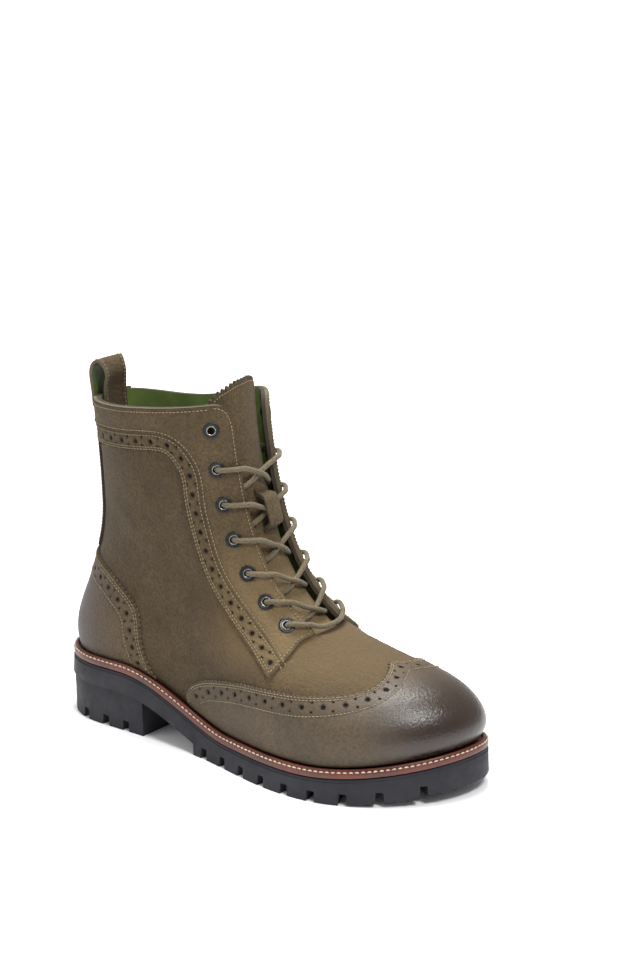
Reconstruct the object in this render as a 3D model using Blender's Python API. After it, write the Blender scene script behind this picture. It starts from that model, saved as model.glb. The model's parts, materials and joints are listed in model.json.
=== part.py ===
"""A lace-up brogue boot for the right foot, with a zip on its inner side, at its real size.

The boot is made the way a bootmaker makes one. A last gives the form, pattern pieces are cut flat and
wrapped over it, and welt, outsole and heel go underneath. X runs from heel to toe, +Y is the inner
(medial) side, +Z is up, and the origin is on the ground under the middle of the heel. Sizes are in metres.
"""

import math

import bmesh
import bpy
import numpy as np
from mathutils import Matrix, Vector
from mathutils.geometry import delaunay_2d_cdt

# Driving sizes of the whole boot
LENGTH = 0.290
BALL_WIDTH = 0.106
COLLAR_HEIGHT = 0.205
COLLAR_RISE = 0.014
HEEL_SEAT = 0.042
FOREPART = 0.0185
TOE_SPRING = 0.012
TOE_SHIFT = 0.0195
TOE_WALL_BASE = FOREPART + TOE_SPRING

# Leather and its layers
WALL = 0.0024
OVERLAY = 0.0013
GAP = 0.0003

# Sole, welt and heel
WELT_REACH = 0.0062
WELT_THICKNESS = 0.0034
WELT_RIB_HEIGHT = 0.0016
WELT_RIB_WIDTH = 0.0030
SOLE_THICKNESS = 0.0125
SOLE_FLARE = 0.0006
HEEL_TAPER = 0.0010
LUG_DEPTH = 0.0048
LUG_REACH = 0.017
HEEL_LENGTH = 0.077
HEEL_CENTRE = HEEL_LENGTH / 2
TREAD_START = 0.122
INSOLE_THICKNESS = 0.003
INSOLE_INSET = 0.0058

# Lacing
THROAT_HALF = 0.0165
EYELET_INSET = 0.0138
EYELET_FLANGE = 0.0051
EYELET_HOLE = 0.0023
EYELET_BARREL = 0.0029
EYELET_ROOM = 0.0041
EYELET_RIM = 0.0010
LACE_RADIUS = 0.0016

# Tongue, pull loop, zip and rivet
TONGUE_THICKNESS = 0.0024
TONGUE_TOP = 0.020
LOOP_WIDTH = 0.024
LOOP_HEIGHT = 0.024
LOOP_THICKNESS = 0.0022
ZIP_SLOT = 0.0105
ZIP_TAPE_THICKNESS = 0.0010
ZIP_TEETH_WIDTH = 0.0050
ZIP_TEETH_HEIGHT = 0.0016
RIVET_RADIUS = 0.0038
KEEPER_WIDTH = 0.011
SLIDER_WIDTH = 0.0080
SLIDER_LENGTH = 0.0095
SLIDER_HEIGHT = 0.0022
PIN_RADIUS = 0.0005
PULL_LENGTH = 0.026
PULL_WIDTH = 0.0072
PULL_THICKNESS = 0.0011

# Sections of the last, from the sole's edge (0) up to the collar (14), and two more for the tongue.
# Each is a closed loop through a back and a front point. back_x, front_x and the two caps are shares of
# LENGTH, back_up and front_up are shares of the rise to the collar, and the rest of half BALL_WIDTH.
COLLAR = 14
COLUMNS = (
    "back_x", "back_up", "front_x", "front_up", "heel", "waist_out", "waist_in",
    "ball_out", "ball_in", "cap_back", "cap_front", "crown",
)
SECTIONS = (
    (0.021, 0.000, 0.981, 0.000, 0.57, 0.64, 0.53, 1.000, 0.800, 0.117, 0.252, 0.00),
    (0.016, 0.061, 0.991, 0.053, 0.62, 0.67, 0.58, 1.035, 0.830, 0.124, 0.240, 0.00),
    (0.019, 0.129, 0.975, 0.106, 0.64, 0.68, 0.61, 1.015, 0.820, 0.131, 0.240, 0.03),
    (0.031, 0.201, 0.938, 0.152, 0.63, 0.67, 0.63, 0.940, 0.790, 0.138, 0.245, 0.10),
    (0.045, 0.272, 0.878, 0.183, 0.60, 0.65, 0.64, 0.840, 0.745, 0.145, 0.250, 0.14),
    (0.057, 0.340, 0.808, 0.206, 0.58, 0.63, 0.63, 0.740, 0.695, 0.152, 0.245, 0.14),
    (0.067, 0.401, 0.736, 0.242, 0.565, 0.62, 0.62, 0.665, 0.650, 0.155, 0.230, 0.10),
    (0.077, 0.462, 0.667, 0.301, 0.56, 0.605, 0.605, 0.620, 0.615, 0.155, 0.200, 0.06),
    (0.083, 0.523, 0.610, 0.376, 0.565, 0.605, 0.605, 0.610, 0.610, 0.159, 0.180, 0.03),
    (0.086, 0.591, 0.566, 0.463, 0.585, 0.625, 0.625, 0.620, 0.620, 0.166, 0.170, 0.00),
    (0.086, 0.667, 0.535, 0.560, 0.615, 0.652, 0.652, 0.643, 0.643, 0.172, 0.168, 0.00),
    (0.084, 0.745, 0.511, 0.665, 0.643, 0.682, 0.682, 0.672, 0.672, 0.179, 0.170, 0.00),
    (0.081, 0.827, 0.493, 0.775, 0.672, 0.708, 0.708, 0.698, 0.698, 0.186, 0.172, 0.00),
    (0.077, 0.912, 0.479, 0.888, 0.697, 0.736, 0.736, 0.726, 0.726, 0.190, 0.172, 0.00),
    (0.073, 1.000, 0.469, 1.000, 0.716, 0.755, 0.755, 0.745, 0.745, 0.193, 0.172, 0.00),
    (0.069, 1.072, 0.460, 1.105, 0.731, 0.770, 0.770, 0.760, 0.760, 0.196, 0.172, 0.00),
    (0.065, 1.145, 0.452, 1.210, 0.741, 0.780, 0.780, 0.770, 0.770, 0.198, 0.172, 0.00),
)
WIDTH_STATIONS = (0.0, 0.12, 0.42, 0.70, 1.0)
TOE_TAPER = 1.0

# Edges of the pattern pieces, from back to front: (share of LENGTH from the heel, section number)
WING_OUTER = (
    (0.388, 0.00), (0.380, 0.45), (0.387, 0.95), (0.404, 1.45), (0.436, 1.96), (0.487, 2.42),
    (0.549, 2.78), (0.612, 3.04), (0.672, 3.26), (0.727, 3.42), (0.772, 3.57), (0.799, 3.70),
)
WING_INNER = (
    (0.462, 0.00), (0.480, 0.60), (0.515, 1.25), (0.570, 1.95), (0.635, 2.55), (0.700, 3.02),
    (0.755, 3.40), (0.796, 3.70),
)
WING_FRONT = ((0.036, 3.98), (0.025, 4.30), (0.0125, 4.72))
WING_PEAK = 5.20
COUNTER_OUTER = (
    (0.295, 0.00), (0.277, 0.70), (0.260, 2.15), (0.252, 3.70), (0.228, 4.60), (0.169, 5.55),
    (0.110, 5.85),
)
COUNTER_INNER = (
    (0.348, 0.00), (0.362, 0.60), (0.368, 1.60), (0.362, 2.60), (0.330, 3.60), (0.260, 4.55),
    (0.180, 5.40), (0.112, 5.85),
)
COUNTER_TOP = 6.10
STRIP_REAR = (
    (0.629, 3.62), (0.606, 4.12), (0.530, 5.90), (0.459, 7.60), (0.421, 8.90), (0.390, 10.6),
    (0.382, 11.3), (0.379, 11.85), (0.367, 12.15),
)
ZIP_LINE = (
    (0.441, 1.00), (0.428, 2.00), (0.407, 4.00), (0.386, 6.00), (0.366, 8.00), (0.348, 10.0),
    (0.338, 12.0), (0.330, 14.0),
)
BAND_DEPTH = 0.0265
CORNER_RADIUS = 0.012
BACK_STRIP_HALF = 0.017
THROAT_BOTTOM = 6.75
EYELET_ROWS = (7.00, 7.87, 8.86, 9.98, 11.07, 12.12, 13.27)
SIDES = {"lateral": -1, "medial": 1}

# Facets of the last: how far round (u, from -1 over the outer side to 1 over the inner) and up
U_STEPS = 14
U_CROWDING = 0.42
HALF_LINES = [
    k / U_STEPS - U_CROWDING * math.sin(2 * math.pi * k / U_STEPS) / (2 * math.pi)
    for k in range(U_STEPS + 1)
]
U_LINES = np.array([-u for u in reversed(HALF_LINES[1:])] + HALF_LINES)
V_LINES = np.array([0, 0.7, 1.4, 2.2, 3, 3.8, 4.6, 5.5, 6.5, 7.5, 8.7, 10, 11.3, 12.7, 14, 15, 16])
RING_SAMPLES = 121


def ease(share):
    """0 to 1 with soft ends."""
    share = min(max(share, 0.0), 1.0)
    return share * share * (3 - 2 * share)


def spline(stations, values, at):
    """A smooth curve through values at the stations."""
    at = min(max(at, stations[0]), stations[-1])
    i = min(int(np.searchsorted(stations, at, side="right")) - 1, len(stations) - 2)
    i = max(i, 0)

    def slope(k):
        lo, hi = max(k - 1, 0), min(k + 1, len(stations) - 1)
        return (values[hi] - values[lo]) / (stations[hi] - stations[lo])

    step = stations[i + 1] - stations[i]
    t = (at - stations[i]) / step
    return (
        values[i] * (1 + 2 * t) * (1 - t) ** 2
        + values[i + 1] * t * t * (3 - 2 * t)
        + slope(i) * step * t * (1 - t) ** 2
        - slope(i + 1) * step * t * t * (1 - t)
    )


def section(v):
    """The section table's columns at section number v, as a dictionary."""
    rows = range(len(SECTIONS))
    return {
        name: spline(rows, [row[k] for row in SECTIONS], v) for k, name in enumerate(COLUMNS)
    }


def bed(x):
    """Height of the welt's top, where the upper stands: heel seat, waist, forepart and toe spring."""
    slope_down = ease((x / LENGTH - 0.20) / 0.32)
    toe = max(x / LENGTH - 0.70, 0.0) / 0.30
    return HEEL_SEAT + (FOREPART - HEEL_SEAT) * slope_down + TOE_SPRING * toe * toe


def half_ring(v, side):
    """Points of one side of a section, from the front centre to the back centre."""
    s = section(v)
    half = BALL_WIDTH / 2
    back, front = s["back_x"] * LENGTH, s["front_x"] * LENGTH
    back_z = HEEL_SEAT + s["back_up"] * (COLLAR_HEIGHT - HEEL_SEAT)
    front_z = TOE_WALL_BASE + s["front_up"] * (COLLAR_HEIGHT + COLLAR_RISE - TOE_WALL_BASE)
    side_name = "out" if side < 0 else "in"
    waist, ball = s["waist_" + side_name], s["ball_" + side_name]
    widths = [half * w for w in (s["heel"], s["heel"], waist, ball, TOE_TAPER * ball)]
    cap_back, cap_front = s["cap_back"] * LENGTH, s["cap_front"] * LENGTH
    follow_bed = max(0.0, 1 - v / 5)
    points = []
    for k in range(RING_SAMPLES):
        along = (1 + math.cos(math.pi * k / (RING_SAMPLES - 1))) / 2
        x = back + (front - back) * along
        to_back = min(max((x - back) / cap_back, 0.0), 1.0)
        to_front = min(max((front - x) / cap_front, 0.0), 1.0)
        ends = math.sqrt(1 - (1 - to_back) ** 2) * math.sqrt(1 - (1 - to_front) ** 2)
        width = spline(WIDTH_STATIONS, widths, along) * ends
        level = back_z + (front_z - back_z) * along
        sag = bed(x) - (HEEL_SEAT + (bed(front) - HEEL_SEAT) * along)
        drop = s["crown"] * half * (width / half) ** 2 * along * along
        shift = TOE_SHIFT * max(x / LENGTH - 0.42, 0.0) ** 2 / 0.3364
        points.append((x, side * width + shift, level + follow_bed * sag - drop))
    return np.array(points)


RINGS = {}


def ring(v, side):
    """(points, distances from the front centre) of one side of section v."""
    key = (round(float(v), 5), side)
    if key not in RINGS:
        points = half_ring(v, side)
        steps = np.linalg.norm(np.diff(points, axis=0), axis=1)
        RINGS[key] = points, np.concatenate([[0.0], np.cumsum(steps)])
    return RINGS[key]


def half_length(v, side):
    """Distance round one side of section v, from front centre to back centre."""
    return ring(v, side)[1][-1]


def exact(u, v):
    """The last's own surface at u round and section v."""
    u = (u + 1) % 2 - 1
    points, distances = ring(v, -1 if u < 0 else 1)
    at = abs(u) * distances[-1]
    return np.array([np.interp(at, distances, points[:, k]) for k in range(3)])


def last_facets():
    """Corner points of the last's facets, and their outward normals."""
    points = np.array([[exact(u, v) for v in V_LINES] for u in U_LINES])
    points[-1] = points[0]
    round_ways = np.roll(points[:-1], -1, axis=0) - np.roll(points[:-1], 1, axis=0)
    up_ways = np.gradient(points[:-1], axis=1)
    normals = np.cross(round_ways, up_ways)
    normals /= np.linalg.norm(normals, axis=2, keepdims=True)
    return points, np.concatenate([normals, normals[:1]])


FACETS, NORMALS = last_facets()


def skin(u, v, lift=0.0):
    """A point on the last's facets, lifted along their normal, in shoe coordinates."""
    u = (u + 1) % 2 - 1
    i = min(max(int(np.searchsorted(U_LINES, u, side="right")) - 1, 0), len(U_LINES) - 2)
    j = min(max(int(np.searchsorted(V_LINES, v, side="right")) - 1, 0), len(V_LINES) - 2)
    a = (u - U_LINES[i]) / (U_LINES[i + 1] - U_LINES[i])
    b = (v - V_LINES[j]) / (V_LINES[j + 1] - V_LINES[j])
    if a >= b:
        corners = ((i, j, 1 - a), (i + 1, j, a - b), (i + 1, j + 1, b))
    else:
        corners = ((i, j, 1 - b), (i, j + 1, b - a), (i + 1, j + 1, a))
    return sum(w * (FACETS[m, n] + lift * NORMALS[m, n]) for m, n, w in corners)


def u_by_distance(v, side, distance):
    """u at this distance from the front centre, measured along section v."""
    return side * distance / half_length(v, side)


def u_by_x(v, side, x):
    """u at which section v has this x."""
    points, distances = ring(v, side)
    return side * np.interp(-x, -points[:, 0], distances) / distances[-1]


def v_below_collar(u, depth):
    """Section number at this distance below the collar's edge."""
    v, step, gone = float(COLLAR), 0.05, 0.0
    here = exact(u, v)
    while gone < depth and v > step:
        lower = exact(u, v - step)
        gone += np.linalg.norm(lower - here)
        here, v = lower, v - step
    return v


def smooth_edge(rows, side, steps):
    """A pattern edge as (u, v) points, on a smooth curve through its table's rows."""
    stations = range(len(rows))
    forward = [row[0] for row in rows]
    up = [row[1] for row in rows]
    found = []
    for k in range(steps * (len(rows) - 1) + 1):
        x, v = (spline(stations, column, k / steps) for column in (forward, up))
        v = max(v, 0.0)
        found.append((u_by_x(v, side, x * LENGTH), v))
    return found


def disc(u, v, radius, corners):
    """A circle on the skin as (u, v) points."""
    step_u, step_v = 0.004, 0.05
    across = (exact(u + step_u, v) - exact(u - step_u, v)) / (2 * step_u)
    along = (exact(u, v + step_v) - exact(u, v - step_v)) / (2 * step_v)
    e1 = across / np.linalg.norm(across)
    e2 = along - e1 * (along @ e1)
    e2 /= np.linalg.norm(e2)
    ways = np.column_stack([across, along])
    found = []
    for k in range(corners):
        angle = 2 * math.pi * k / corners
        target = radius * (math.cos(angle) * e1 + math.sin(angle) * e2)
        du, dv = np.linalg.lstsq(ways, target, rcond=None)[0]
        found.append((u + du, v + dv))
    return found


def eyelet_places():
    """(name, u, v) of every eyelet, from the bottom pair up."""
    places = []
    for side_name, side in SIDES.items():
        for k, v in enumerate(EYELET_ROWS):
            u = u_by_distance(v, side, THROAT_HALF + EYELET_INSET)
            places.append((f"eyelet_{side_name}_{k + 1}", u, v))
    return places


# Where the pieces sit across the skin
COLLAR_DIP = 0.5


def collar_v(u):
    """Section number of the collar's edge, which dips a little on the inner side."""
    share = min(max((u - 0.22) / 0.78, 0.0), 1.0)
    return COLLAR - COLLAR_DIP * math.sin(math.pi * share) ** 2


def collar_line(u_from, u_to, steps):
    us = np.linspace(u_from, u_to, steps + 1)
    return [(u, collar_v(u)) for u in us]


def wing_outline():
    """Outer edge of the wingtip, from the outer side's waist over the peak to the inner side's."""
    sides = []
    for rows, side in ((WING_OUTER, -1), (WING_INNER, 1)):
        front = [(u_by_distance(v, side, distance), v) for distance, v in WING_FRONT]
        sides.append([*smooth_edge(rows, side, 2), *front])
    return [*sides[0], (0.0, WING_PEAK), *reversed(sides[1])]


def throat_u(v, side, inset=0.0):
    """u of the throat's edge at section v."""
    return u_by_distance(v, side, THROAT_HALF + inset)


def zip_u(v, offset=0.0):
    """u of the zip's line at section v, offset towards the heel."""
    rows = range(len(ZIP_LINE))
    x = np.interp(v, [row[1] for row in ZIP_LINE], [row[0] for row in ZIP_LINE])
    return u_by_x(v, 1, x * LENGTH - offset)


def back_u(v, side, half):
    """u at this distance from the back seam."""
    return side * (1 - half / half_length(v, side))


def rounded(points, where, radius, steps=4):
    """The outline with the corner at index where rounded off, by its size on the skin."""
    before, corner, after = points[where - 1], points[where], points[(where + 1) % len(points)]
    here = exact(*corner)
    starts = []
    for other in (before, after):
        distance = np.linalg.norm(exact(*other) - here)
        share = min(radius / distance, 0.9)
        starts.append(tuple(c + (o - c) * share for c, o in zip(corner, other)))
    arc = []
    for k in range(steps + 1):
        t = k / steps
        arc.append(tuple(
            starts[0][m] * (1 - t) ** 2 + corner[m] * 2 * t * (1 - t) + starts[1][m] * t * t
            for m in range(2)
        ))
    return [*points[:where], *arc, *points[where + 1:]]


def band_bottom(side, u_from, u_to, steps):
    """Lower edge of the collar band between two places."""
    found = []
    for k in range(steps + 1):
        u = u_from + (u_to - u_from) * k / steps
        found.append((u, v_below_collar(u, BAND_DEPTH)))
    return found


def facing_tip(side):
    """Front of a facing: from the throat's lower corner down towards the tip beside the wing."""
    return [
        (throat_u(THROAT_BOTTOM, side), THROAT_BOTTOM),
        (u_by_x(6.1, side, 0.650 * LENGTH), 6.1),
        (u_by_x(4.8, side, 0.649 * LENGTH), 4.8),
    ]


# Cutting pattern pieces and wrapping them over the last
def inside(point, loop):
    """Whether a point lies inside a closed loop."""
    x, y = point
    found = False
    for (x0, y0), (x1, y1) in zip(loop, [*loop[1:], loop[0]]):
        if (y0 > y) != (y1 > y) and x < (x1 - x0) * (y - y0) / (y1 - y0) + x0:
            found = not found
    return found


MATERIALS = {}


def material(name, colour, roughness, metallic=0.0):
    """The part's own material, made once."""
    if name not in MATERIALS:
        made = bpy.data.materials.new(name)
        made.use_nodes = True
        shader = made.node_tree.nodes["Principled BSDF"]
        shader.inputs["Base Color"].default_value = (*colour, 1.0)
        shader.inputs["Roughness"].default_value = roughness
        shader.inputs["Metallic"].default_value = metallic
        made.diffuse_color = (*colour, 1.0)
        MATERIALS[name] = made
    return MATERIALS[name]


COLLECTION = None


def solid(name, points, faces, look, origin=(0.0, 0.0, 0.0)):
    """One closed body from points in shoe coordinates (x from the heel's back)."""
    bm = bmesh.new()
    shift = Vector((-HEEL_CENTRE, 0.0, 0.0)) - Vector(origin)
    verts = [bm.verts.new(Vector(p) + shift) for p in points]
    for face in faces:
        corners = [verts[i] for k, i in enumerate(face) if i != face[k - 1]]
        if len(set(corners)) >= 3:
            bm.faces.new(corners)
    bmesh.ops.remove_doubles(bm, verts=bm.verts, dist=1e-7)
    bmesh.ops.triangulate(bm, faces=bm.faces)
    bmesh.ops.recalc_face_normals(bm, faces=bm.faces)
    if bm.calc_volume(signed=True) < 0:
        bmesh.ops.reverse_faces(bm, faces=bm.faces)
    mesh = bpy.data.meshes.new(name)
    bm.to_mesh(mesh)
    bm.free()
    made = bpy.data.objects.new(name, mesh)
    made.location = origin
    mesh.materials.append(look)
    COLLECTION.objects.link(made)
    return made


def combine(base, others, operation):
    """Join the others to the base, or cut them out of it."""
    for other in others:
        step = base.modifiers.new(operation.lower(), "BOOLEAN")
        step.operation = operation
        step.solver = "EXACT"
        step.object = other
        graph = bpy.context.evaluated_depsgraph_get()
        mesh = bpy.data.meshes.new_from_object(base.evaluated_get(graph))
        base.modifiers.clear()
        old = base.data
        mesh.name = base.name
        base.data = mesh
        bpy.data.meshes.remove(old)
        tool = other.data
        bpy.data.objects.remove(other)
        bpy.data.meshes.remove(tool)
    return base


PLANE_SCALE = 22.0


def triangles_of(outline, holes):
    """Flat pattern cut along the last's facet lines: (u, v) points and triangles."""
    loops = [outline, *holes]
    coords, edges = [], []
    for loop in loops:
        first = len(coords)
        coords.extend(Vector((u * PLANE_SCALE, v)) for u, v in loop)
        edges.extend((first + k, first + (k + 1) % len(loop)) for k in range(len(loop)))
    us = [u for u, _ in outline]
    vs = [v for _, v in outline]
    u0, u1, v0, v1 = min(us), max(us), min(vs), max(vs)
    lines = [u + turn for turn in (-2, 0, 2) for u in U_LINES[:-1]]
    lines = [u for u in lines if u0 - 0.2 < u < u1 + 0.2]

    def wire(a, b):
        edges.append((len(coords), len(coords) + 1))
        coords.extend(Vector((u * PLANE_SCALE, v)) for u, v in (a, b))

    for u in lines:
        if u0 + 1e-6 < u < u1 - 1e-6:
            wire((u, v0), (u, v1))
    for v in V_LINES:
        if v0 + 1e-6 < v < v1 - 1e-6:
            wire((u0, v), (u1, v))
    for ua, ub in zip(lines, lines[1:]):
        for va, vb in zip(V_LINES, V_LINES[1:]):
            lo = max((u0 - ua) / (ub - ua), (v0 - va) / (vb - va), 0.0)
            hi = min((u1 - ua) / (ub - ua), (v1 - va) / (vb - va), 1.0)
            if hi - lo > 1e-6:
                wire(*((ua + (ub - ua) * t, va + (vb - va) * t) for t in (lo, hi)))
    found, _, faces, *_ = delaunay_2d_cdt(coords, edges, [], 0, 1e-7)
    kept = []
    for face in faces:
        middle = sum((found[i] for i in face), Vector((0, 0))) / len(face)
        place = (middle[0] / PLANE_SCALE, middle[1])
        if inside(place, loops[0]) and not any(inside(place, hole) for hole in holes):
            kept.append(tuple(face))
    return [(p[0] / PLANE_SCALE, p[1]) for p in found], kept


def pattern(name, outline, low, high, look, holes=()):
    """A flat pattern piece wrapped over the last, from lift low to lift high."""
    flat, faces = triangles_of(outline, holes)
    same, index = {}, []
    for u, v in flat:
        key = (round((u + 1) % 2, 6) % 2, round(v, 6))
        index.append(same.setdefault(key, len(same)))
    places = [None] * len(same)
    for (u, v), i in zip(flat, index):
        places[i] = (u, v)
    used = sorted({index[i] for face in faces for i in face})
    number = {i: k for k, i in enumerate(used)}
    faces = [tuple(number[index[i]] for i in face) for face in faces]
    faces = [face for face in faces if len(set(face)) == 3]
    count = len(used)
    points = [skin(*places[i], low) for i in used] + [skin(*places[i], high) for i in used]
    ways = {(a, b) for face in faces for a, b in zip(face, (*face[1:], face[0]))}
    walls = [(a, b, b + count, a + count) for a, b in ways if (b, a) not in ways]
    roof = [tuple(i + count for i in face) for face in faces]
    floor = [tuple(reversed(face)) for face in faces]
    walls = [tuple(reversed(wall)) for wall in walls]
    return solid(name, points, [*roof, *floor, *walls], look)


def swept(name, profile, columns, look):
    """A closed (v, lift) profile swept across the skin, through places given per column."""
    n = len(profile)
    points = [skin(column(v), v, lift) for column in columns for v, lift in profile]
    faces = []
    for c in range(len(columns) - 1):
        for k in range(n):
            a, b = c * n + k, c * n + (k + 1) % n
            faces.append((a, b, b + n, a + n))
    faces.append(tuple(reversed(range(n))))
    faces.append(tuple(range((len(columns) - 1) * n, len(columns) * n)))
    return solid(name, points, faces, look)


def tube(name, path, radius, look, sides=5):
    """A round cord along a path of points."""
    path = [Vector(p) for p in path]
    ways = [(b - a).normalized() for a, b in zip(path, path[1:])]
    tangents = [ways[0], *((a + b).normalized() for a, b in zip(ways, ways[1:])), ways[-1]]
    normal = tangents[0].orthogonal().normalized()
    points = []
    for p, t in zip(path, tangents):
        normal = (normal - t * normal.dot(t)).normalized()
        across = t.cross(normal)
        for k in range(sides):
            angle = 2 * math.pi * k / sides
            points.append(p + radius * (math.cos(angle) * normal + math.sin(angle) * across))
    faces = []
    for r in range(len(path) - 1):
        for k in range(sides):
            a, b = r * sides + k, r * sides + (k + 1) % sides
            faces.append((a, b, b + sides, a + sides))
    faces.append(tuple(reversed(range(sides))))
    faces.append(tuple(range((len(path) - 1) * sides, len(path) * sides)))
    return solid(name, points, faces, look)


def turned(name, profile, centre, axis, look, sides=12):
    """A round piece from its (radius, height) profile, closed round its axis."""
    axis = Vector(axis).normalized()
    e1 = axis.orthogonal().normalized()
    e2 = axis.cross(e1)
    centre = Vector(centre)
    n = len(profile)
    points = []
    for k in range(sides):
        angle = 2 * math.pi * k / sides
        way = math.cos(angle) * e1 + math.sin(angle) * e2
        points.extend(centre + radius * way + height * axis for radius, height in profile)
    faces = []
    for k in range(sides):
        for j in range(n):
            a, b = k * n + j, k * n + (j + 1) % n
            c, d = (b + n) % (n * sides), (a + n) % (n * sides)
            faces.append((a, b, c, d))
    return solid(name, points, faces, look)


def box(name, centre, axes, halves, look, origin=(0.0, 0.0, 0.0)):
    """A block about a centre, along three axes."""
    points = [
        Vector(centre) + sum((Vector(w) * h * s for w, h, s in zip(axes, halves, signs)), Vector())
        for signs in ((-1, -1, -1), (1, -1, -1), (1, 1, -1), (-1, 1, -1),
                      (-1, -1, 1), (1, -1, 1), (1, 1, 1), (-1, 1, 1))
    ]
    faces = [(0, 3, 2, 1), (4, 5, 6, 7), (0, 1, 5, 4), (1, 2, 6, 5), (2, 3, 7, 6), (3, 0, 4, 7)]
    return solid(name, points, faces, look, origin)


# The foot's plan, for everything under the upper
SOLE_STATIONS = 18


def foot_edge(side):
    """The last's lower edge on one side, from the heel's back to the toe: x, y, and plan normals."""
    points = half_ring(0.0, side)[::-1]
    ways = np.gradient(points[:, :2], axis=0)
    ways /= np.linalg.norm(ways, axis=1, keepdims=True)
    normals = side * np.column_stack([-ways[:, 1], ways[:, 0]])
    normals[0], normals[-1] = (-1, 0), (1, 0)
    return points[:, :2], normals


FOOT_EDGES = {side: foot_edge(side) for side in (-1, 1)}


def edge_point(x, side, reach):
    """Point of the sole's outline at station x, reaching out from the last's lower edge."""
    points, normals = FOOT_EDGES[side]
    y = np.interp(x, points[:, 0], points[:, 1])
    normal = np.array([np.interp(x, points[:, 0], normals[:, k]) for k in range(2)])
    normal /= np.linalg.norm(normal)
    return np.array([x, y]) + reach * normal


def stations(start, end, count):
    """Stations along the foot, closer together where an end is round."""
    back, toe = FOOT_EDGES[1][0][0, 0], FOOT_EDGES[1][0][-1, 0]
    at_back, at_toe = start <= back, end >= toe
    start, end = max(start, back), min(end, toe)
    found = []
    for k in range(count + 1):
        t = k / count
        if at_back and at_toe:
            t = (1 - math.cos(math.pi * t)) / 2
        elif at_back:
            t = 1 - math.cos(math.pi * t / 2)
        elif at_toe:
            t = math.sin(math.pi * t / 2)
        found.append(start + (end - start) * t)
    return found


def slab(name, at, layers, look):
    """A solid under the foot: layers of (reach, height function) from top to bottom."""
    points, faces = [], []
    n = len(layers)
    for x in at:
        for side in (-1, 1):
            for reach, height in layers:
                px, py = edge_point(x, side, reach)
                points.append((px, py, height(px)))
    row = 2 * n
    for k in range(len(at) - 1):
        base = k * row
        loop = [*range(n), *reversed(range(n, row))]
        for a, b in zip(loop, [*loop[1:], loop[0]]):
            faces.append((base + a, base + b, base + row + b, base + row + a))
    ends = [*range(n), *reversed(range(n, row))]
    faces.append(tuple(ends))
    last = (len(at) - 1) * row
    faces.append(tuple(last + i for i in reversed(ends)))
    return solid(name, points, faces, look)


def tread(x):
    """Height of the sole's walking surface under the forefoot, with its toe spring."""
    rise = max(x / LENGTH - 0.77, 0.0) / 0.23
    return 0.0095 * rise ** 1.6


def welt_bottom(x):
    return bed(x) - GAP - WELT_THICKNESS


def sole_top(x):
    return welt_bottom(x) - 1.4 * GAP


def sole_bottom(x):
    """Underside of the outsole: seat, waist arch, and tread under the forefoot."""
    if x >= TREAD_START:
        return tread(x)
    return sole_top(x) - SOLE_THICKNESS


LEATHER = ((0.16, 0.125, 0.07), 0.75)
COLOURS = {
    "upper_leather": ((0.17, 0.135, 0.08), 0.78, 0.0),
    "vamp_leather": ((0.20, 0.155, 0.09), 0.75, 0.0),
    "toe_leather": ((0.085, 0.05, 0.035), 0.5, 0.0),
    "counter_leather": ((0.11, 0.085, 0.075), 0.6, 0.0),
    "welt_leather": ((0.27, 0.08, 0.04), 0.55, 0.0),
    "rubber": ((0.055, 0.055, 0.062), 0.7, 0.0),
    "insole_board": ((0.45, 0.36, 0.24), 0.8, 0.0),
    "lace_cord": ((0.24, 0.19, 0.10), 0.85, 0.0),
    "dark_metal": ((0.05, 0.05, 0.05), 0.35, 1.0),
    "zip_cloth": ((0.10, 0.12, 0.07), 0.85, 0.0),
    "zip_teeth_metal": ((0.12, 0.12, 0.10), 0.4, 1.0),
    "stud_metal": ((0.30, 0.26, 0.20), 0.4, 1.0),
}


def look(name):
    colour, roughness, metallic = COLOURS[name]
    return material(name, colour, roughness, metallic)


def build_sole():
    """Outsole with forefoot lugs, heel block, welt and insole."""
    toe = FOOT_EDGES[1][0][-1, 0]
    seat = stations(0, HEEL_LENGTH, 8)
    rear = [*seat, *stations(HEEL_LENGTH, TREAD_START, 3)[1:]]
    front = stations(TREAD_START, toe, 12)
    outsole = slab("outsole", [*rear[:-1], TREAD_START - 0.0004, *front], (
        (WELT_REACH - 0.0006, sole_top),
        (WELT_REACH + 0.4 * SOLE_FLARE, lambda x: 0.5 * (sole_top(x) + sole_bottom(x))),
        (WELT_REACH + SOLE_FLARE, sole_bottom),
    ), look("rubber"))
    step = (toe - TREAD_START) / 9.3
    cut_notches(outsole, [TREAD_START + step * (k + 0.55) for k in range(9)], LUG_REACH, tread)

    block = slab("heel", seat, (
        (WELT_REACH - 0.0004, lambda x: sole_bottom(x) - 1.4 * GAP),
        (WELT_REACH - HEEL_TAPER, lambda x: 0.0),
    ), look("rubber"))
    cut_notches(block, [HEEL_LENGTH * (0.17 + 0.215 * k) for k in range(4)], 0.6 * LUG_REACH,
                lambda x: 0.0)

    build_welt([*rear, *front[1:]])
    slab("insole", [*rear[1:], *front[1:-1]], (
        (-INSOLE_INSET, lambda x: bed(x) + INSOLE_THICKNESS),
        (-INSOLE_INSET, lambda x: bed(x) - 2 * GAP),
    ), look("insole_board"))


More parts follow.
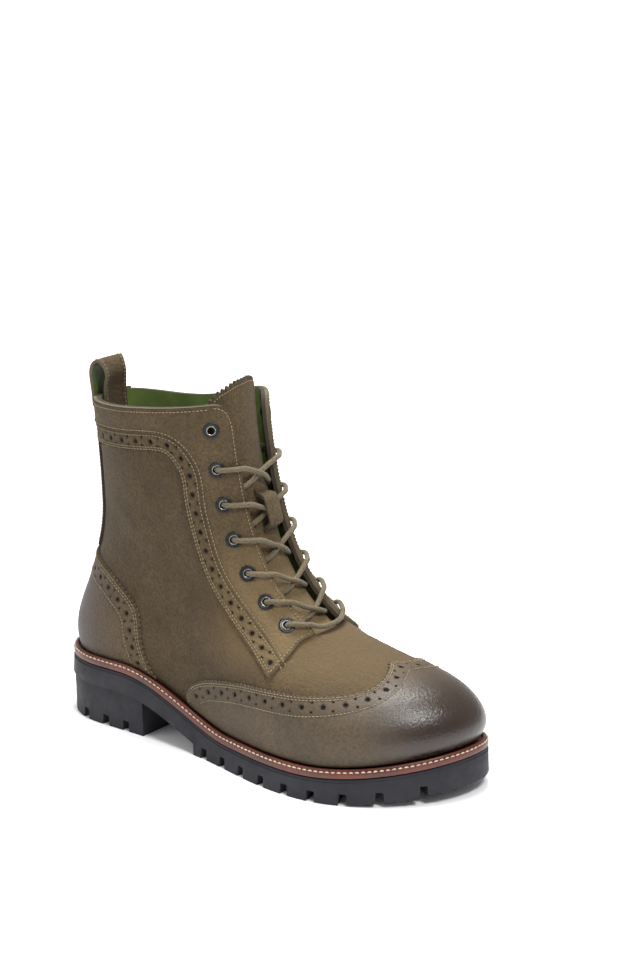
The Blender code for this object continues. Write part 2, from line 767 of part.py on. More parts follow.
def cut_notches(block, places, reach, ground):
    """Cut the gaps between the lugs into both sides of a tread."""
    notches = []
    for x in places:
        for side in (-1, 1):
            edge = edge_point(x, side, WELT_REACH + 0.004)
            inner = edge_point(x, side, WELT_REACH - reach)
            middle = (*((edge + inner) / 2), ground(x) + LUG_DEPTH / 2 - 0.002)
            way = Vector((*(edge - inner), 0.0))
            halves = (way.length / 2, 0.00225, LUG_DEPTH / 2 + 0.002)
            way.normalize()
            axes = (way, Vector((-way.y, way.x, 0.0)), Vector((0, 0, 1)))
            notches.append(box("notch", middle, axes, halves, look("rubber")))
    combine(block, notches, "DIFFERENCE")


def build_welt(at):
    """Storm welt: a strip round the foot, under the upper's edge, with a rib beside the upper."""
    walk = [(x, -1) for x in at] + [(x, 1) for x in reversed(at[1:-1])]
    rib_in = OVERLAY + 2 * GAP + 0.0010
    rib_out = rib_in + WELT_RIB_WIDTH - 0.0010
    profile = (
        (-0.0050, -GAP - WELT_THICKNESS), (WELT_REACH, -GAP - WELT_THICKNESS), (WELT_REACH, 0.0),
        (rib_out, 0.0), (rib_out, WELT_RIB_HEIGHT), (rib_in, WELT_RIB_HEIGHT), (rib_in, -3 * GAP),
        (-0.0050, -3 * GAP),
    )
    points, faces = [], []
    n = len(profile)
    for x, side in walk:
        for reach, height in profile:
            px, py = edge_point(x, side, reach)
            points.append((px, py, bed(px) + height))
    for k in range(len(walk)):
        for j in range(n):
            a, b = k * n + j, k * n + (j + 1) % n
            c, d = (b + n) % len(points), (a + n) % len(points)
            faces.append((a, b, c, d))
    solid("welt", points, faces, look("welt_leather"))


def rounded_top(side, inset=0.0):
    """Throat's upper end and the collar's front corner, as one soft curve."""
    u = throat_u(COLLAR, side, inset)
    loop = rounded([(throat_u(12, side, inset), 12), (u, COLLAR), (u + side * 0.2, COLLAR)],
                   1, CORNER_RADIUS)
    return loop[1:-1]


def throat_line(side, inset=0.0):
    """Throat's edge of one side, from its bottom to the collar's front corner."""
    rise = [(throat_u(v, side, inset), v) for v in (THROAT_BOTTOM, 8, 9, 10, 11, 12)]
    return [*rise, *rounded_top(side, inset)]


def zip_edge(offset, vs):
    return [(zip_u(v, offset), v) for v in vs]


def build_upper():
    """Hollow lasted body, open underneath, at the collar, the throat and the zip."""
    half_slot = ZIP_SLOT / 2
    slot_vs = (1.4, 2, 4, 6, 8, 10, 12, 13.3)
    rear, front = zip_edge(half_slot, slot_vs), zip_edge(-half_slot, slot_vs)
    rear_top, front_top = zip_u(13.7, half_slot), zip_u(13.7, -half_slot)
    outline = [
        (-1.0, 0.0), (1.0, 0.0), *collar_line(1.0, rear_top, 4),
        *reversed(rear), *front, *collar_line(front_top, 0.24, 3),
        *reversed(throat_line(1)), *throat_line(-1), (-1.0, COLLAR),
    ]
    holes = [disc(u, v, EYELET_ROOM, 6) for _, u, v in eyelet_places()]
    pattern("upper", outline, -WALL, 0.0, look("upper_leather"), holes)


def build_overlays():
    """Toe cap, counter, facings with their bands, and the back strip."""
    low, high = GAP, GAP + OVERLAY
    raised = [(u, max(v, 0.12)) for u, v in wing_outline()]
    pattern("wingtip", raised, low, high, look("toe_leather"))

    outer = [(u + 2, v) for u, v in smooth_edge(COUNTER_OUTER, -1, 2)]
    inner = smooth_edge(COUNTER_INNER, 1, 2)
    outline = [*inner, (1.0, COUNTER_TOP), *reversed(outer)]
    outline = [(u, max(v, 0.12)) for u, v in outline]
    pattern("counter", outline, low, high, look("counter_leather"))

    strip_half = BACK_STRIP_HALF
    strip_vs = (6.2, 8, 10, 12, COLLAR)
    right = [(back_u(v, 1, strip_half), v) for v in strip_vs]
    left = [(back_u(v, -1, strip_half) + 2, v) for v in strip_vs]
    bottom = (1.0, COUNTER_TOP + 0.15)
    pattern("back_strip", [bottom, *left, *reversed(right)], low, high, look("upper_leather"))

    for name, side in SIDES.items():
        holes = [
            disc(u, v, EYELET_ROOM, 6)
            for eyelet, u, v in eyelet_places() if name in eyelet
        ]
        if side < 0:
            end = [(back_u(v, side, strip_half + 2 * GAP), v) for v in (COLLAR, 13)]
        else:
            end = zip_edge(-ZIP_SLOT / 2, (13.3, 12.7))
            end = [*collar_line(0.24, zip_u(13.7, -ZIP_SLOT / 2), 3), *end]
        lower_end = end[-1][0]
        strip = [p for p in smooth_edge(STRIP_REAR, side, 2)]
        band = band_bottom(side, lower_end, u_by_x(12.2, side, 0.350 * LENGTH), 4)
        outline = [*facing_tip(side)[::-1], *throat_line(side)[1:], *end, *band, *reversed(strip)]
        pattern(f"eyestay_{name}", outline, low, high, look("vamp_leather"), holes)

    rear = zip_edge(ZIP_SLOT / 2, (13.3, 12.7))
    front_low = (rear[-1][0], v_below_collar(rear[-1][0], BAND_DEPTH))
    end = [(back_u(v, 1, strip_half + 2 * GAP), v) for v in (12.7, 13.3)]
    back_low = (end[0][0], v_below_collar(end[0][0], BAND_DEPTH))
    top = collar_line(back_u(13.8, 1, strip_half + 2 * GAP), zip_u(13.7, ZIP_SLOT / 2), 3)
    outline = [*top, *rear, front_low, back_low, *end]
    pattern("collar_medial", outline, low, high, look("upper_leather"))


TONGUE_DROP = 0.0038
TONGUE_LIFT = -(WALL + TONGUE_DROP)


def build_tongue():
    """Tongue behind the throat, rising over the collar, and the leather loop that keeps the lace."""
    widths = {
        -1: ((6.4, 0.020), (7.2, 0.027), (9, 0.032), (12, 0.034), (13.9, 0.034), (14.3, 0.024)),
        1: ((6.4, 0.020), (7.2, 0.027), (9, 0.032), (12, 0.034), (14.0, 0.032), (14.45, 0.022)),
    }
    edges = {
        side: [(u_by_distance(v, side, half), v) for v, half in rows]
        for side, rows in widths.items()
    }
    outline = [*edges[-1], (u_by_distance(14.55, -1, 0.008), 14.55),
               (u_by_distance(14.6, 1, 0.010), 14.6), *reversed(edges[1])]
    pattern("tongue", outline, TONGUE_LIFT - TONGUE_THICKNESS, TONGUE_LIFT, look("vamp_leather"))

    middle = 0.25 * EYELET_ROWS[3] + 0.75 * EYELET_ROWS[4]
    top = 0.0028
    foot = TONGUE_LIFT + 2 * GAP
    shape = (
        (-0.58, foot), (-0.58, foot + 0.0012), (-0.46, foot + 0.0014), (-0.42, top), (0.42, top),
        (0.46, foot + 0.0014), (0.58, foot + 0.0012), (0.58, foot), (0.38, foot), (0.34, 0.0014),
        (-0.34, 0.0014), (-0.38, foot),
    )
    profile = [(middle + v, lift) for v, lift in shape]
    columns = [
        lambda v, d=d: u_by_distance(v, 1, d) for d in np.linspace(-0.5, 0.5, 4) * KEEPER_WIDTH
    ]
    swept("lace_keeper", profile, columns, look("vamp_leather"))


def build_eyelets():
    """Round metal eyelets through the facings."""
    for name, u, v in eyelet_places():
        lift = GAP + OVERLAY
        rim = [Vector(skin(a, b, lift)) for a, b in disc(u, v, EYELET_FLANGE, 16)]
        centre = Vector(skin(u, v, lift))
        middle = sum(rim, Vector()) / len(rim)
        normal = Vector()
        for a, b in zip(rim, [*rim[1:], rim[0]]):
            normal += (a - middle).cross(b - middle)
        normal.normalize()
        if normal.dot(Vector(skin(u, v, 0.01)) - Vector(skin(u, v))) < 0:
            normal = -normal
        top = max(normal.dot(p - centre) for p in [*rim, centre]) + GAP
        depth = -(WALL + OVERLAY + GAP)
        profile = (
            (EYELET_HOLE, depth), (EYELET_HOLE, top + EYELET_RIM), (EYELET_FLANGE, top),
            (EYELET_BARREL, top), (EYELET_BARREL, depth),
        )
        turned(name, profile, centre, normal, look("dark_metal"), sides=9)


def lace_point(side, distance, v, lift):
    return skin(u_by_distance(v, side, distance), v, lift)


def build_laces():
    """Bottom bar and criss-cross, joined where the cords touch; over the facings and under them."""
    over = (
        (THROAT_HALF + EYELET_INSET, 0.0, 0.0060), (0.0205, 0.0, 0.0050), (0.0165, 0.0, 0.0044),
        (0.0135, -0.02, 0.0030),
    )
    v = EYELET_ROWS[0]
    half = [(distance, v, lift) for distance, _, lift in over]
    path = [lace_point(-1, d, w, lift) for d, w, lift in half]
    path += [lace_point(-1, 0.006, v, 0.0014), lace_point(1, 0.006, v, 0.0014)]
    path += [lace_point(1, d, w, lift) for d, w, lift in reversed(half)]
    parts = [tube("laces", path, LACE_RADIUS, look("lace_cord"))]
    for v, above in zip(EYELET_ROWS, EYELET_ROWS[1:-1]):
        step = above - v
        for side in (-1, 1):
            dip = -0.0014 if side < 0 else -0.0035
            under = (
                (0.0138, 0.03, 0.0024), (0.0138, 0.28, -0.0016), (0.0118, 0.48, -0.0041),
                (0.0060, 0.62, -0.0041 if side > 0 else -0.0026),
            )
            path = [lace_point(-side, d, v + up * step, lift) for d, up, lift in under]
            path.append(lace_point(side, 0.0, v + 0.75 * step, dip))
            path.append(lace_point(side, 0.0070, v + 0.87 * step, 0.5 * (dip + 0.0006)))
            path += [lace_point(side, d, above + up, lift) for d, up, lift in reversed(over)]
            parts.append(tube("crossing", path, LACE_RADIUS, look("lace_cord")))
    combine(parts[0], parts[1:], "UNION")


LOOP_LINE = (
    (13.5, 0.0034), (14.2, 0.0034), (14.95, 0.0037), (15.4, 0.0029), (15.72, 0.0006), (15.72, -0.0024),
    (15.4, -0.0052), (14.95, -0.0062), (14.2, -0.0043), (12.9, -0.0040),
)


def build_back():
    """Pull loop over the collar's back, and the plain stud on the back strip."""
    pitch = (COLLAR_HEIGHT - HEEL_SEAT) * 0.074
    half = 0.0009
    flat = [Vector((v * pitch, lift)) for v, lift in LOOP_LINE]
    sides = [[], []]
    for k, p in enumerate(flat):
        before, after = flat[max(k - 1, 0)], flat[min(k + 1, len(flat) - 1)]
        way = (after - before).normalized()
        normal = Vector((-way.y, way.x))
        for s, sign in enumerate((1, -1)):
            q = p + normal * half * sign
            sides[s].append((q.x / pitch, q.y))
    profile = [*sides[0], *reversed(sides[1])]
    widths = np.linspace(-0.5, 0.5, 4) * LOOP_WIDTH
    columns = [
        lambda v, d=d: 1 + math.copysign(abs(d) / half_length(min(v, 14), 1), d) for d in widths
    ]
    swept("pull_loop", profile, columns, look("upper_leather"))

    v = 12.55
    u = back_u(v, -1, 0.0080)
    centre, normal = Vector(skin(u, v, GAP + OVERLAY)), Vector(skin(u, v, 0.01)) - Vector(skin(u, v))
    profile = (
        (0.0, 0.0004), (RIVET_RADIUS, 0.0004), (RIVET_RADIUS, 0.0010),
        (0.7 * RIVET_RADIUS, 0.0018), (0.0, 0.0021),
    )
    turned("rivet", profile, centre, normal, look("stud_metal"), sides=14)


ZIP_LOW = 0.9
SLIDER_AT = 13.3
PIN_HEIGHT = 0.0017


def zip_strip(name, v_from, v_to, offsets, low, high, look):
    """A strip along the zip's line."""
    vs = [v_from, *(v for v in V_LINES if v_from < v < v_to), v_to]
    profile = [*((v, low) for v in vs), *((v, high) for v in reversed(vs))]
    swept(name, profile, [lambda v, d=d: zip_u(v, d) for d in offsets], look)


def build_zip():
    """Zip tape and teeth behind the slot, the slider near the collar, and its hanging pull."""
    tape_top = -(WALL + 2 * GAP)
    half = ZIP_SLOT / 2 + 0.0045
    zip_strip("zip_tape", ZIP_LOW, 13.7, (-half, 0.0, half), tape_top - ZIP_TAPE_THICKNESS, tape_top,
              look("zip_cloth"))
    low = tape_top + 1.6 * GAP
    half = ZIP_TEETH_WIDTH / 2
    zip_strip("zip_teeth", 1.7, 13.6, (-half, half), low, low + ZIP_TEETH_HEIGHT,
              look("zip_teeth_metal"))

    base = Vector(skin(zip_u(SLIDER_AT), SLIDER_AT, 0.0))
    up = Vector(skin(zip_u(SLIDER_AT + 0.4), SLIDER_AT + 0.4)) - Vector(
        skin(zip_u(SLIDER_AT - 1.2), SLIDER_AT - 1.2))
    up.normalize()
    out = Vector(skin(zip_u(SLIDER_AT), SLIDER_AT, 0.01)) - base
    out = (out - up * out.dot(up)).normalized()
    across = up.cross(out)
    axes = (across, up, out)
    bottom = low + ZIP_TEETH_HEIGHT + 0.0006
    centre = base + out * (bottom + SLIDER_HEIGHT / 2)
    halves = (SLIDER_WIDTH / 2, SLIDER_LENGTH / 2, SLIDER_HEIGHT / 2)
    slider = box("zip_slider", centre, axes, halves, look("dark_metal"))
    pin = base + out * (bottom + SLIDER_HEIGHT + PIN_HEIGHT)
    lug_half = (0.0013, 0.0018, (PIN_HEIGHT + 0.0016 + 0.0006) / 2)
    lug_at = pin + out * (0.0016 - lug_half[2])
    lug = box("lug", lug_at, axes, lug_half, look("dark_metal"))
    combine(slider, [lug], "UNION")
    hole = rod("hole", pin, across, 0.003, 0.0009, 8)
    combine(slider, [hole], "DIFFERENCE")

    origin = pin + Vector((-HEEL_CENTRE, 0, 0))
    window = 0.0032
    plate_at = pin - up * (window + (PULL_LENGTH - window) / 2)
    pull = box("zip_pull", plate_at, axes,
               (PULL_WIDTH / 2, (PULL_LENGTH - window) / 2, PULL_THICKNESS / 2),
               look("dark_metal"), origin)
    arms = []
    for sign in (-1, 1):
        at = pin + across * sign * 0.0023 - up * (window - 0.0010 + 0.0004) / 2
        arms.append(box("arm", at, axes, (0.0006, (window + 0.0010 + 0.0004) / 2, PULL_THICKNESS / 2),
                        look("dark_metal")))
    arms.append(rod("pin", pin, across, 0.0024, PIN_RADIUS, 6))
    combine(pull, arms, "UNION")
    end = rod("end_hole", pin - up * (PULL_LENGTH - 0.0030), out, 0.003, 0.0011, 8)
    combine(pull, [end], "DIFFERENCE")


def rod(name, centre, axis, half, radius, sides):
    """A short round bar through a centre."""
    centre, axis = Vector(centre), Vector(axis)
    path = [centre - axis * half, centre + axis * half]
    return tube(name, path, radius, look("dark_metal"), sides)


def main():
    global COLLECTION
    for thing in list(bpy.data.objects):
        bpy.data.objects.remove(thing)
    for group in list(bpy.data.collections):
        bpy.data.collections.remove(group)
    COLLECTION = bpy.data.collections.new("brogue_boot")
    bpy.context.scene.collection.children.link(COLLECTION)
    build_sole()
    build_upper()
    build_overlays()
    build_tongue()
    build_eyelets()
    build_laces()
    build_back()
    build_zip()
    for thing in COLLECTION.objects:
        print(thing.name, len(thing.data.polygons))
    print("total", sum(len(thing.data.polygons) for thing in COLLECTION.objects))


main()
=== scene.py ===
# %% [markdown]
# # A lace-up brogue boot, dressed for its picture
# The packed CAD model is the frame: every piece here is cut over the same last, in metres, and then
# rides on a body of the frame. X runs from heel to toe, +Y is the inner side of this right boot.
# We load the frame first, because nothing may move away from it.

# %% Load the frame
import json
import math

import bmesh
import bpy
import numpy as np
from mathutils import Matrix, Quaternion, Vector
from mathutils.geometry import delaunay_2d_cdt
from mathutils.kdtree import KDTree


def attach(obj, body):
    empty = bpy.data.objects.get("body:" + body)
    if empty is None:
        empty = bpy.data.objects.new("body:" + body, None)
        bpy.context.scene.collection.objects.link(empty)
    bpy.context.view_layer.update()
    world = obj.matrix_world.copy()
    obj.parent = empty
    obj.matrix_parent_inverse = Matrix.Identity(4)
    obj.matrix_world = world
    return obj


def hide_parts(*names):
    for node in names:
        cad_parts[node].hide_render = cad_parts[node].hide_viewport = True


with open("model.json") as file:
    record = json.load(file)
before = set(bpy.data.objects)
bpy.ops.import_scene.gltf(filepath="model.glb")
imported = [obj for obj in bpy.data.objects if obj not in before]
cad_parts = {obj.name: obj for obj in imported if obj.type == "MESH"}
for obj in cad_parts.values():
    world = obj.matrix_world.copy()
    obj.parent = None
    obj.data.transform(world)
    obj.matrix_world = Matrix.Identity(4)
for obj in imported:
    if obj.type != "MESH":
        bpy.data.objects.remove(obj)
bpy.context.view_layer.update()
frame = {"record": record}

# %% [markdown]
# ## Camera
# The photograph looks down on the outer side from the front. We set the camera's place, a slight roll,
# and a long lens, as a studio would use to keep the boot's shape true.

# %% Camera
CAMERA_AZIMUTH, CAMERA_ELEVATION, CAMERA_ROLL = (math.radians(a) for a in (36.84, 16.34, 0.26))
CAMERA_TARGET = Vector((0.0851, 0.08325, 0.14627))
CAMERA_DISTANCE = 1.635
CAMERA_LENS = 97.5

camera_way = Vector((
    math.sin(CAMERA_AZIMUTH) * math.cos(CAMERA_ELEVATION),
    -math.cos(CAMERA_AZIMUTH) * math.cos(CAMERA_ELEVATION),
    math.sin(CAMERA_ELEVATION),
))


def shown(name, data):
    """A new object in the scene."""
    made = bpy.data.objects.new(name, data)
    bpy.context.scene.collection.objects.link(made)
    return made


camera = shown("camera", bpy.data.cameras.new("camera"))
camera.data.lens = CAMERA_LENS
camera.data.sensor_width = 36
camera.location = CAMERA_TARGET + camera_way * CAMERA_DISTANCE
camera.rotation_mode = "QUATERNION"
camera.rotation_quaternion = (
    (-camera_way).to_track_quat("-Z", "Y") @ Quaternion((0, 0, 1), CAMERA_ROLL)
)
bpy.context.scene.camera = camera
print("camera at", [round(c, 3) for c in camera.location])

# %% [markdown]
# ## The last
# A boot is built over a last, a solid foot form. Ours is a stack of closed sections from the sole's
# edge (v = 0) up to the collar (v = 14). Blender could hold it as a sculpted mesh, but a table of a few
# named columns is easier to change, and gives a smooth surface at any fineness.

# %% Sizes of the last
LENGTH, BALL_WIDTH = 0.290, 0.106
COLLAR_HEIGHT, COLLAR_RISE = 0.205, 0.014
HEEL_SEAT, FOREPART, TOE_SPRING, TOE_SHIFT = 0.042, 0.0185, 0.012, 0.0195
HEEL_LENGTH = 0.077
HEEL_CENTRE = HEEL_LENGTH / 2
COLLAR, TOP = 14, 16
COLUMNS = (
    "back_x", "back_up", "front_x", "front_up", "heel", "waist_out", "waist_in",
    "ball_out", "ball_in", "cap_back", "cap_front", "crown",
)
SECTIONS = np.array((
    (0.021, 0.000, 0.981, 0.000, 0.57, 0.64, 0.53, 1.000, 0.800, 0.117, 0.252, 0.00),
    (0.016, 0.061, 0.991, 0.053, 0.62, 0.67, 0.58, 1.035, 0.830, 0.124, 0.240, 0.00),
    (0.019, 0.129, 0.975, 0.106, 0.64, 0.68, 0.61, 1.015, 0.820, 0.131, 0.240, 0.03),
    (0.031, 0.201, 0.938, 0.152, 0.63, 0.67, 0.63, 0.940, 0.790, 0.138, 0.245, 0.10),
    (0.045, 0.272, 0.878, 0.183, 0.60, 0.65, 0.64, 0.840, 0.745, 0.145, 0.250, 0.14),
    (0.057, 0.340, 0.808, 0.206, 0.58, 0.63, 0.63, 0.740, 0.695, 0.152, 0.245, 0.14),
    (0.067, 0.401, 0.736, 0.242, 0.565, 0.62, 0.62, 0.665, 0.650, 0.155, 0.230, 0.10),
    (0.077, 0.462, 0.667, 0.301, 0.56, 0.605, 0.605, 0.620, 0.615, 0.155, 0.200, 0.06),
    (0.083, 0.523, 0.610, 0.376, 0.565, 0.605, 0.605, 0.610, 0.610, 0.159, 0.180, 0.03),
    (0.086, 0.591, 0.566, 0.463, 0.585, 0.625, 0.625, 0.620, 0.620, 0.166, 0.170, 0.00),
    (0.086, 0.667, 0.535, 0.560, 0.615, 0.652, 0.652, 0.643, 0.643, 0.172, 0.168, 0.00),
    (0.084, 0.745, 0.511, 0.665, 0.643, 0.682, 0.682, 0.672, 0.672, 0.179, 0.170, 0.00),
    (0.081, 0.827, 0.493, 0.775, 0.672, 0.708, 0.708, 0.698, 0.698, 0.186, 0.172, 0.00),
    (0.077, 0.912, 0.479, 0.888, 0.697, 0.736, 0.736, 0.726, 0.726, 0.190, 0.172, 0.00),
    (0.073, 1.000, 0.469, 1.000, 0.716, 0.755, 0.755, 0.745, 0.745, 0.193, 0.172, 0.00),
    (0.069, 1.072, 0.460, 1.105, 0.731, 0.770, 0.770, 0.760, 0.760, 0.196, 0.172, 0.00),
    (0.065, 1.145, 0.452, 1.210, 0.741, 0.780, 0.780, 0.770, 0.770, 0.198, 0.172, 0.00),
))
WIDTH_STATIONS = (0.0, 0.12, 0.42, 0.70, 1.0)
RING_SAMPLES = 121
LAST_ROUND, LAST_UP = 481, 321
print("the table has", SECTIONS.shape, "numbers, in columns", COLUMNS)


# %% Curves and sections of the last
def curve_at(stations, values, at):
    """A smooth curve through the values at the stations, for an array of places."""
    stations = np.asarray(stations, float)
    values = np.asarray(values, float)
    at = np.clip(at, stations[0], stations[-1])
    i = np.clip(np.searchsorted(stations, at, side="right") - 1, 0, len(stations) - 2)
    count = np.arange(len(values))
    low, high = np.maximum(count - 1, 0), np.minimum(count + 1, len(values) - 1)
    slopes = (values[high] - values[low]) / (stations[high] - stations[low])
    step = stations[i + 1] - stations[i]
    t = (at - stations[i]) / step
    return (
        values[i] * (1 + 2 * t) * (1 - t) ** 2 + values[i + 1] * t * t * (3 - 2 * t)
        + slopes[i] * step * t * (1 - t) ** 2 - slopes[i + 1] * step * t * t * (1 - t)
    )


def ease(share):
    """0 to 1 with soft ends."""
    share = np.clip(share, 0.0, 1.0)
    return share * share * (3 - 2 * share)


def bed(x):
    """Height of the welt's top, with x from the heel's back: seat, waist, forepart and toe spring."""
    toe = np.maximum(x / LENGTH - 0.70, 0.0) / 0.30
    return HEEL_SEAT + (FOREPART - HEEL_SEAT) * ease((x / LENGTH - 0.20) / 0.32) + TOE_SPRING * toe * toe


def half_ring(v, side):
    """One side of section v, from the front centre to the back centre, with x from the heel's back."""
    rows = range(len(SECTIONS))
    s = {name: float(curve_at(rows, SECTIONS[:, k], v)) for k, name in enumerate(COLUMNS)}
    half = BALL_WIDTH / 2
    toe_base = FOREPART + TOE_SPRING
    back, front = s["back_x"] * LENGTH, s["front_x"] * LENGTH
    back_z = HEEL_SEAT + s["back_up"] * (COLLAR_HEIGHT - HEEL_SEAT)
    front_z = toe_base + s["front_up"] * (COLLAR_HEIGHT + COLLAR_RISE - toe_base)
    name = "out" if side < 0 else "in"
    waist, ball = s["waist_" + name], s["ball_" + name]
    widths = [half * w for w in (s["heel"], s["heel"], waist, ball, ball)]
    along = (1 + np.cos(np.pi * np.arange(RING_SAMPLES) / (RING_SAMPLES - 1))) / 2
    x = back + (front - back) * along
    to_back = np.clip((x - back) / (s["cap_back"] * LENGTH), 0, 1)
    to_front = np.clip((front - x) / (s["cap_front"] * LENGTH), 0, 1)
    ends = np.sqrt(1 - (1 - to_back) ** 2) * np.sqrt(1 - (1 - to_front) ** 2)
    width = curve_at(WIDTH_STATIONS, widths, along) * ends
    level = back_z + (front_z - back_z) * along
    sag = bed(x) - (HEEL_SEAT + (bed(front) - HEEL_SEAT) * along)
    drop = s["crown"] * half * (width / half) ** 2 * along * along
    shift = TOE_SHIFT * np.maximum(x / LENGTH - 0.42, 0.0) ** 2 / 0.3364
    height = level + max(0.0, 1 - v / 5) * sag - drop
    return np.column_stack([x - HEEL_CENTRE, side * width + shift, height])


def arc_lengths(points):
    """Length gone at each point of a line."""
    steps = np.linalg.norm(np.diff(points, axis=0), axis=1)
    return np.concatenate([[0.0], np.cumsum(steps)])


def read_at(path, gone, at):
    """Places of the path at these lengths, where gone is the length at each of its own places."""
    return np.stack([np.interp(at, gone, column) for column in path.T], axis=-1)


print("the welt's top is", round(float(bed(LENGTH)), 4), "m up at the toe")


# %% The last as a fine grid
def last_grid():
    """The last's surface as a fine grid of points and outward normals."""
    half = LAST_ROUND // 2
    shares = np.linspace(0, 1, half + 1)
    points = np.zeros((LAST_ROUND, LAST_UP, 3))
    lengths = np.zeros((2, LAST_UP))
    for j, v in enumerate(np.linspace(0, TOP, LAST_UP)):
        for side in (-1, 1):
            ring = half_ring(v, side)
            gone = arc_lengths(ring)
            even_ring = read_at(ring, gone, shares * gone[-1])
            lengths[(side + 1) // 2, j] = gone[-1]
            if side > 0:
                points[half:, j] = even_ring
            else:
                points[:half + 1, j] = even_ring[::-1]
    wide = np.concatenate([points[-2:-1], points, points[1:2]])
    round_ways = np.gradient(wide, axis=0)[1:-1]
    up_ways = np.gradient(points, axis=1)
    normals = np.cross(round_ways, up_ways)
    normals /= np.linalg.norm(normals, axis=2, keepdims=True)
    return points, normals, round_ways * (LAST_ROUND - 1) / 2, up_ways * (LAST_UP - 1) / TOP, lengths


LAST_POINTS, LAST_NORMALS, ROUND_WAYS, UP_WAYS, HALF_LENGTHS = last_grid()
print("last", LAST_POINTS.shape, "from", LAST_POINTS.min(axis=(0, 1)), "to", LAST_POINTS.max(axis=(0, 1)))

# %% [markdown]
# ## Walking over the last
# A place on the leather is a pair (u, v): u goes round from the front centre, to -1 over the outer side
# and 1 over the inner side, and v is the section. These helpers turn such places into points, move
# them a true distance over the surface, and space them evenly, so that stitches and holes keep
# their real pitch everywhere.
#
# Worn leather is never quite smooth: it creases over the instep and folds at the ankle. The creases are
# listed in (u, v), and every layer is lifted by the same relief, so no layer cuts another.

# %% Creases of worn leather
CREASES = (
    # u, v, length along u, half width in v, depth in millimetres, slope of the crease
    (-0.22, 5.35, 0.15, 0.16, 0.30, 0.5), (-0.25, 4.85, 0.13, 0.18, 0.22, 0.8),
    (0.20, 5.25, 0.14, 0.16, 0.30, -0.5), (0.24, 4.75, 0.12, 0.18, 0.22, -0.8),
    (-0.02, 5.75, 0.11, 0.14, 0.20, 0.0),
    (-0.62, 6.6, 0.16, 0.55, 0.55, 1.4), (-0.66, 8.1, 0.14, 0.55, 0.45, -1.2),
    (-0.80, 9.6, 0.12, 0.50, 0.40, 1.0), (-0.52, 9.3, 0.10, 0.60, 0.40, -2.0),
    (0.66, 6.8, 0.14, 0.55, 0.50, -1.4), (0.72, 8.6, 0.12, 0.55, 0.45, 1.2),
    (-0.45, 5.4, 0.10, 0.45, 0.40, 2.2), (0.45, 5.4, 0.10, 0.45, 0.40, -2.2),
)


def relief(uv):
    """Shallow creases and folds, as a lift of every leather layer alike."""
    u = (uv[:, 0] + 1) % 2 - 1
    found = np.zeros(len(uv))
    for cu, cv, run, half, depth, slope in CREASES:
        along = (u - cu) / run
        across = (uv[:, 1] - cv - slope * along) / half
        found -= depth * np.exp(-along ** 2 * 2.2) * np.exp(-across ** 2)
        found += 0.55 * depth * np.exp(-along ** 2 * 2.2) * np.exp(-(across - 1.9) ** 2)
    return found * 0.001


print(len(CREASES), "creases")


# %% Places and directions
def mixed(field, uv):
    """A value of the last's grid between its points."""
    a = ((uv[:, 0] + 1) % 2) / 2 * (LAST_ROUND - 1)
    b = np.clip(uv[:, 1], 0, TOP) / TOP * (LAST_UP - 1)
    i = np.minimum(a.astype(int), LAST_ROUND - 2)
    j = np.minimum(b.astype(int), LAST_UP - 2)
    fa, fb = (a - i)[:, None], (b - j)[:, None]
    return (
        field[i, j] * (1 - fa) * (1 - fb) + field[i + 1, j] * fa * (1 - fb)
        + field[i, j + 1] * (1 - fa) * fb + field[i + 1, j + 1] * fa * fb
    )


def normals_at(uv):
    """Outward normals of the last."""
    found = mixed(LAST_NORMALS, uv)
    return found / np.linalg.norm(found, axis=1, keepdims=True)


def place(uv, lift=0.0):
    """Points at (u, v), lifted off the last."""
    uv = np.atleast_2d(np.asarray(uv, float))
    lift = np.broadcast_to(np.asarray(lift, float), (len(uv),))
    return mixed(LAST_POINTS, uv) + normals_at(uv) * (lift + relief(uv))[:, None]


def moved(uv, step):
    """(u, v) places after a step in metres over the surface."""
    du, dv = mixed(ROUND_WAYS, uv), mixed(UP_WAYS, uv)
    a, b, c = (du * du).sum(1), (du * dv).sum(1), (dv * dv).sum(1)
    p, q = (step * du).sum(1), (step * dv).sum(1)
    area = a * c - b * b
    return uv + np.column_stack([(c * p - b * q) / area, (a * q - b * p) / area])


print("front centre at collar", place([(0.0, 14.0)])[0])

# %% Paths over the last
PATH_STEP, FINE_STEP = 0.0012, 0.0008


def walked(path):
    """Length gone over the last at each place of the path."""
    return arc_lengths(mixed(LAST_POINTS, path))


def even(path, step=PATH_STEP):
    """The path with its places spaced evenly."""
    path = np.asarray(path, float)
    gone = walked(path)
    count = max(int(round(gone[-1] / step)), 1)
    return read_at(path, gone, np.linspace(0, gone[-1], count + 1))


def softened(path, turns):
    """The path with its corners eased, its ends kept."""
    path = np.array(path, float)
    for _ in range(turns):
        path[1:-1] = 0.25 * path[:-2] + 0.5 * path[1:-1] + 0.25 * path[2:]
    return path


def left_of(path, closed=False):
    """Unit ways to the left of the path, seen from outside."""
    points = mixed(LAST_POINTS, path)
    if closed:
        ways = np.roll(points, -1, axis=0) - np.roll(points, 1, axis=0)
    else:
        ways = np.gradient(points, axis=0)
    found = np.cross(normals_at(path), ways)
    return found / np.maximum(np.linalg.norm(found, axis=1, keepdims=True), 1e-12)


def beside(path, offset):
    """A path beside this one, to the left where offset is positive."""
    path = even(path)
    turns = max(int(math.ceil(abs(offset) / 0.002)), 1)
    for _ in range(turns):
        path = moved(path, left_of(path) * (offset / turns))
        path = even(softened(path, 3))
    return path


print("paths have a place every", PATH_STEP, "m")


# %% Finding u on a section
def half_length(v, side):
    """Length round one side of section v, from the front centre to the back seam."""
    return np.interp(v, np.linspace(0, TOP, LAST_UP), HALF_LENGTHS[(side + 1) // 2])


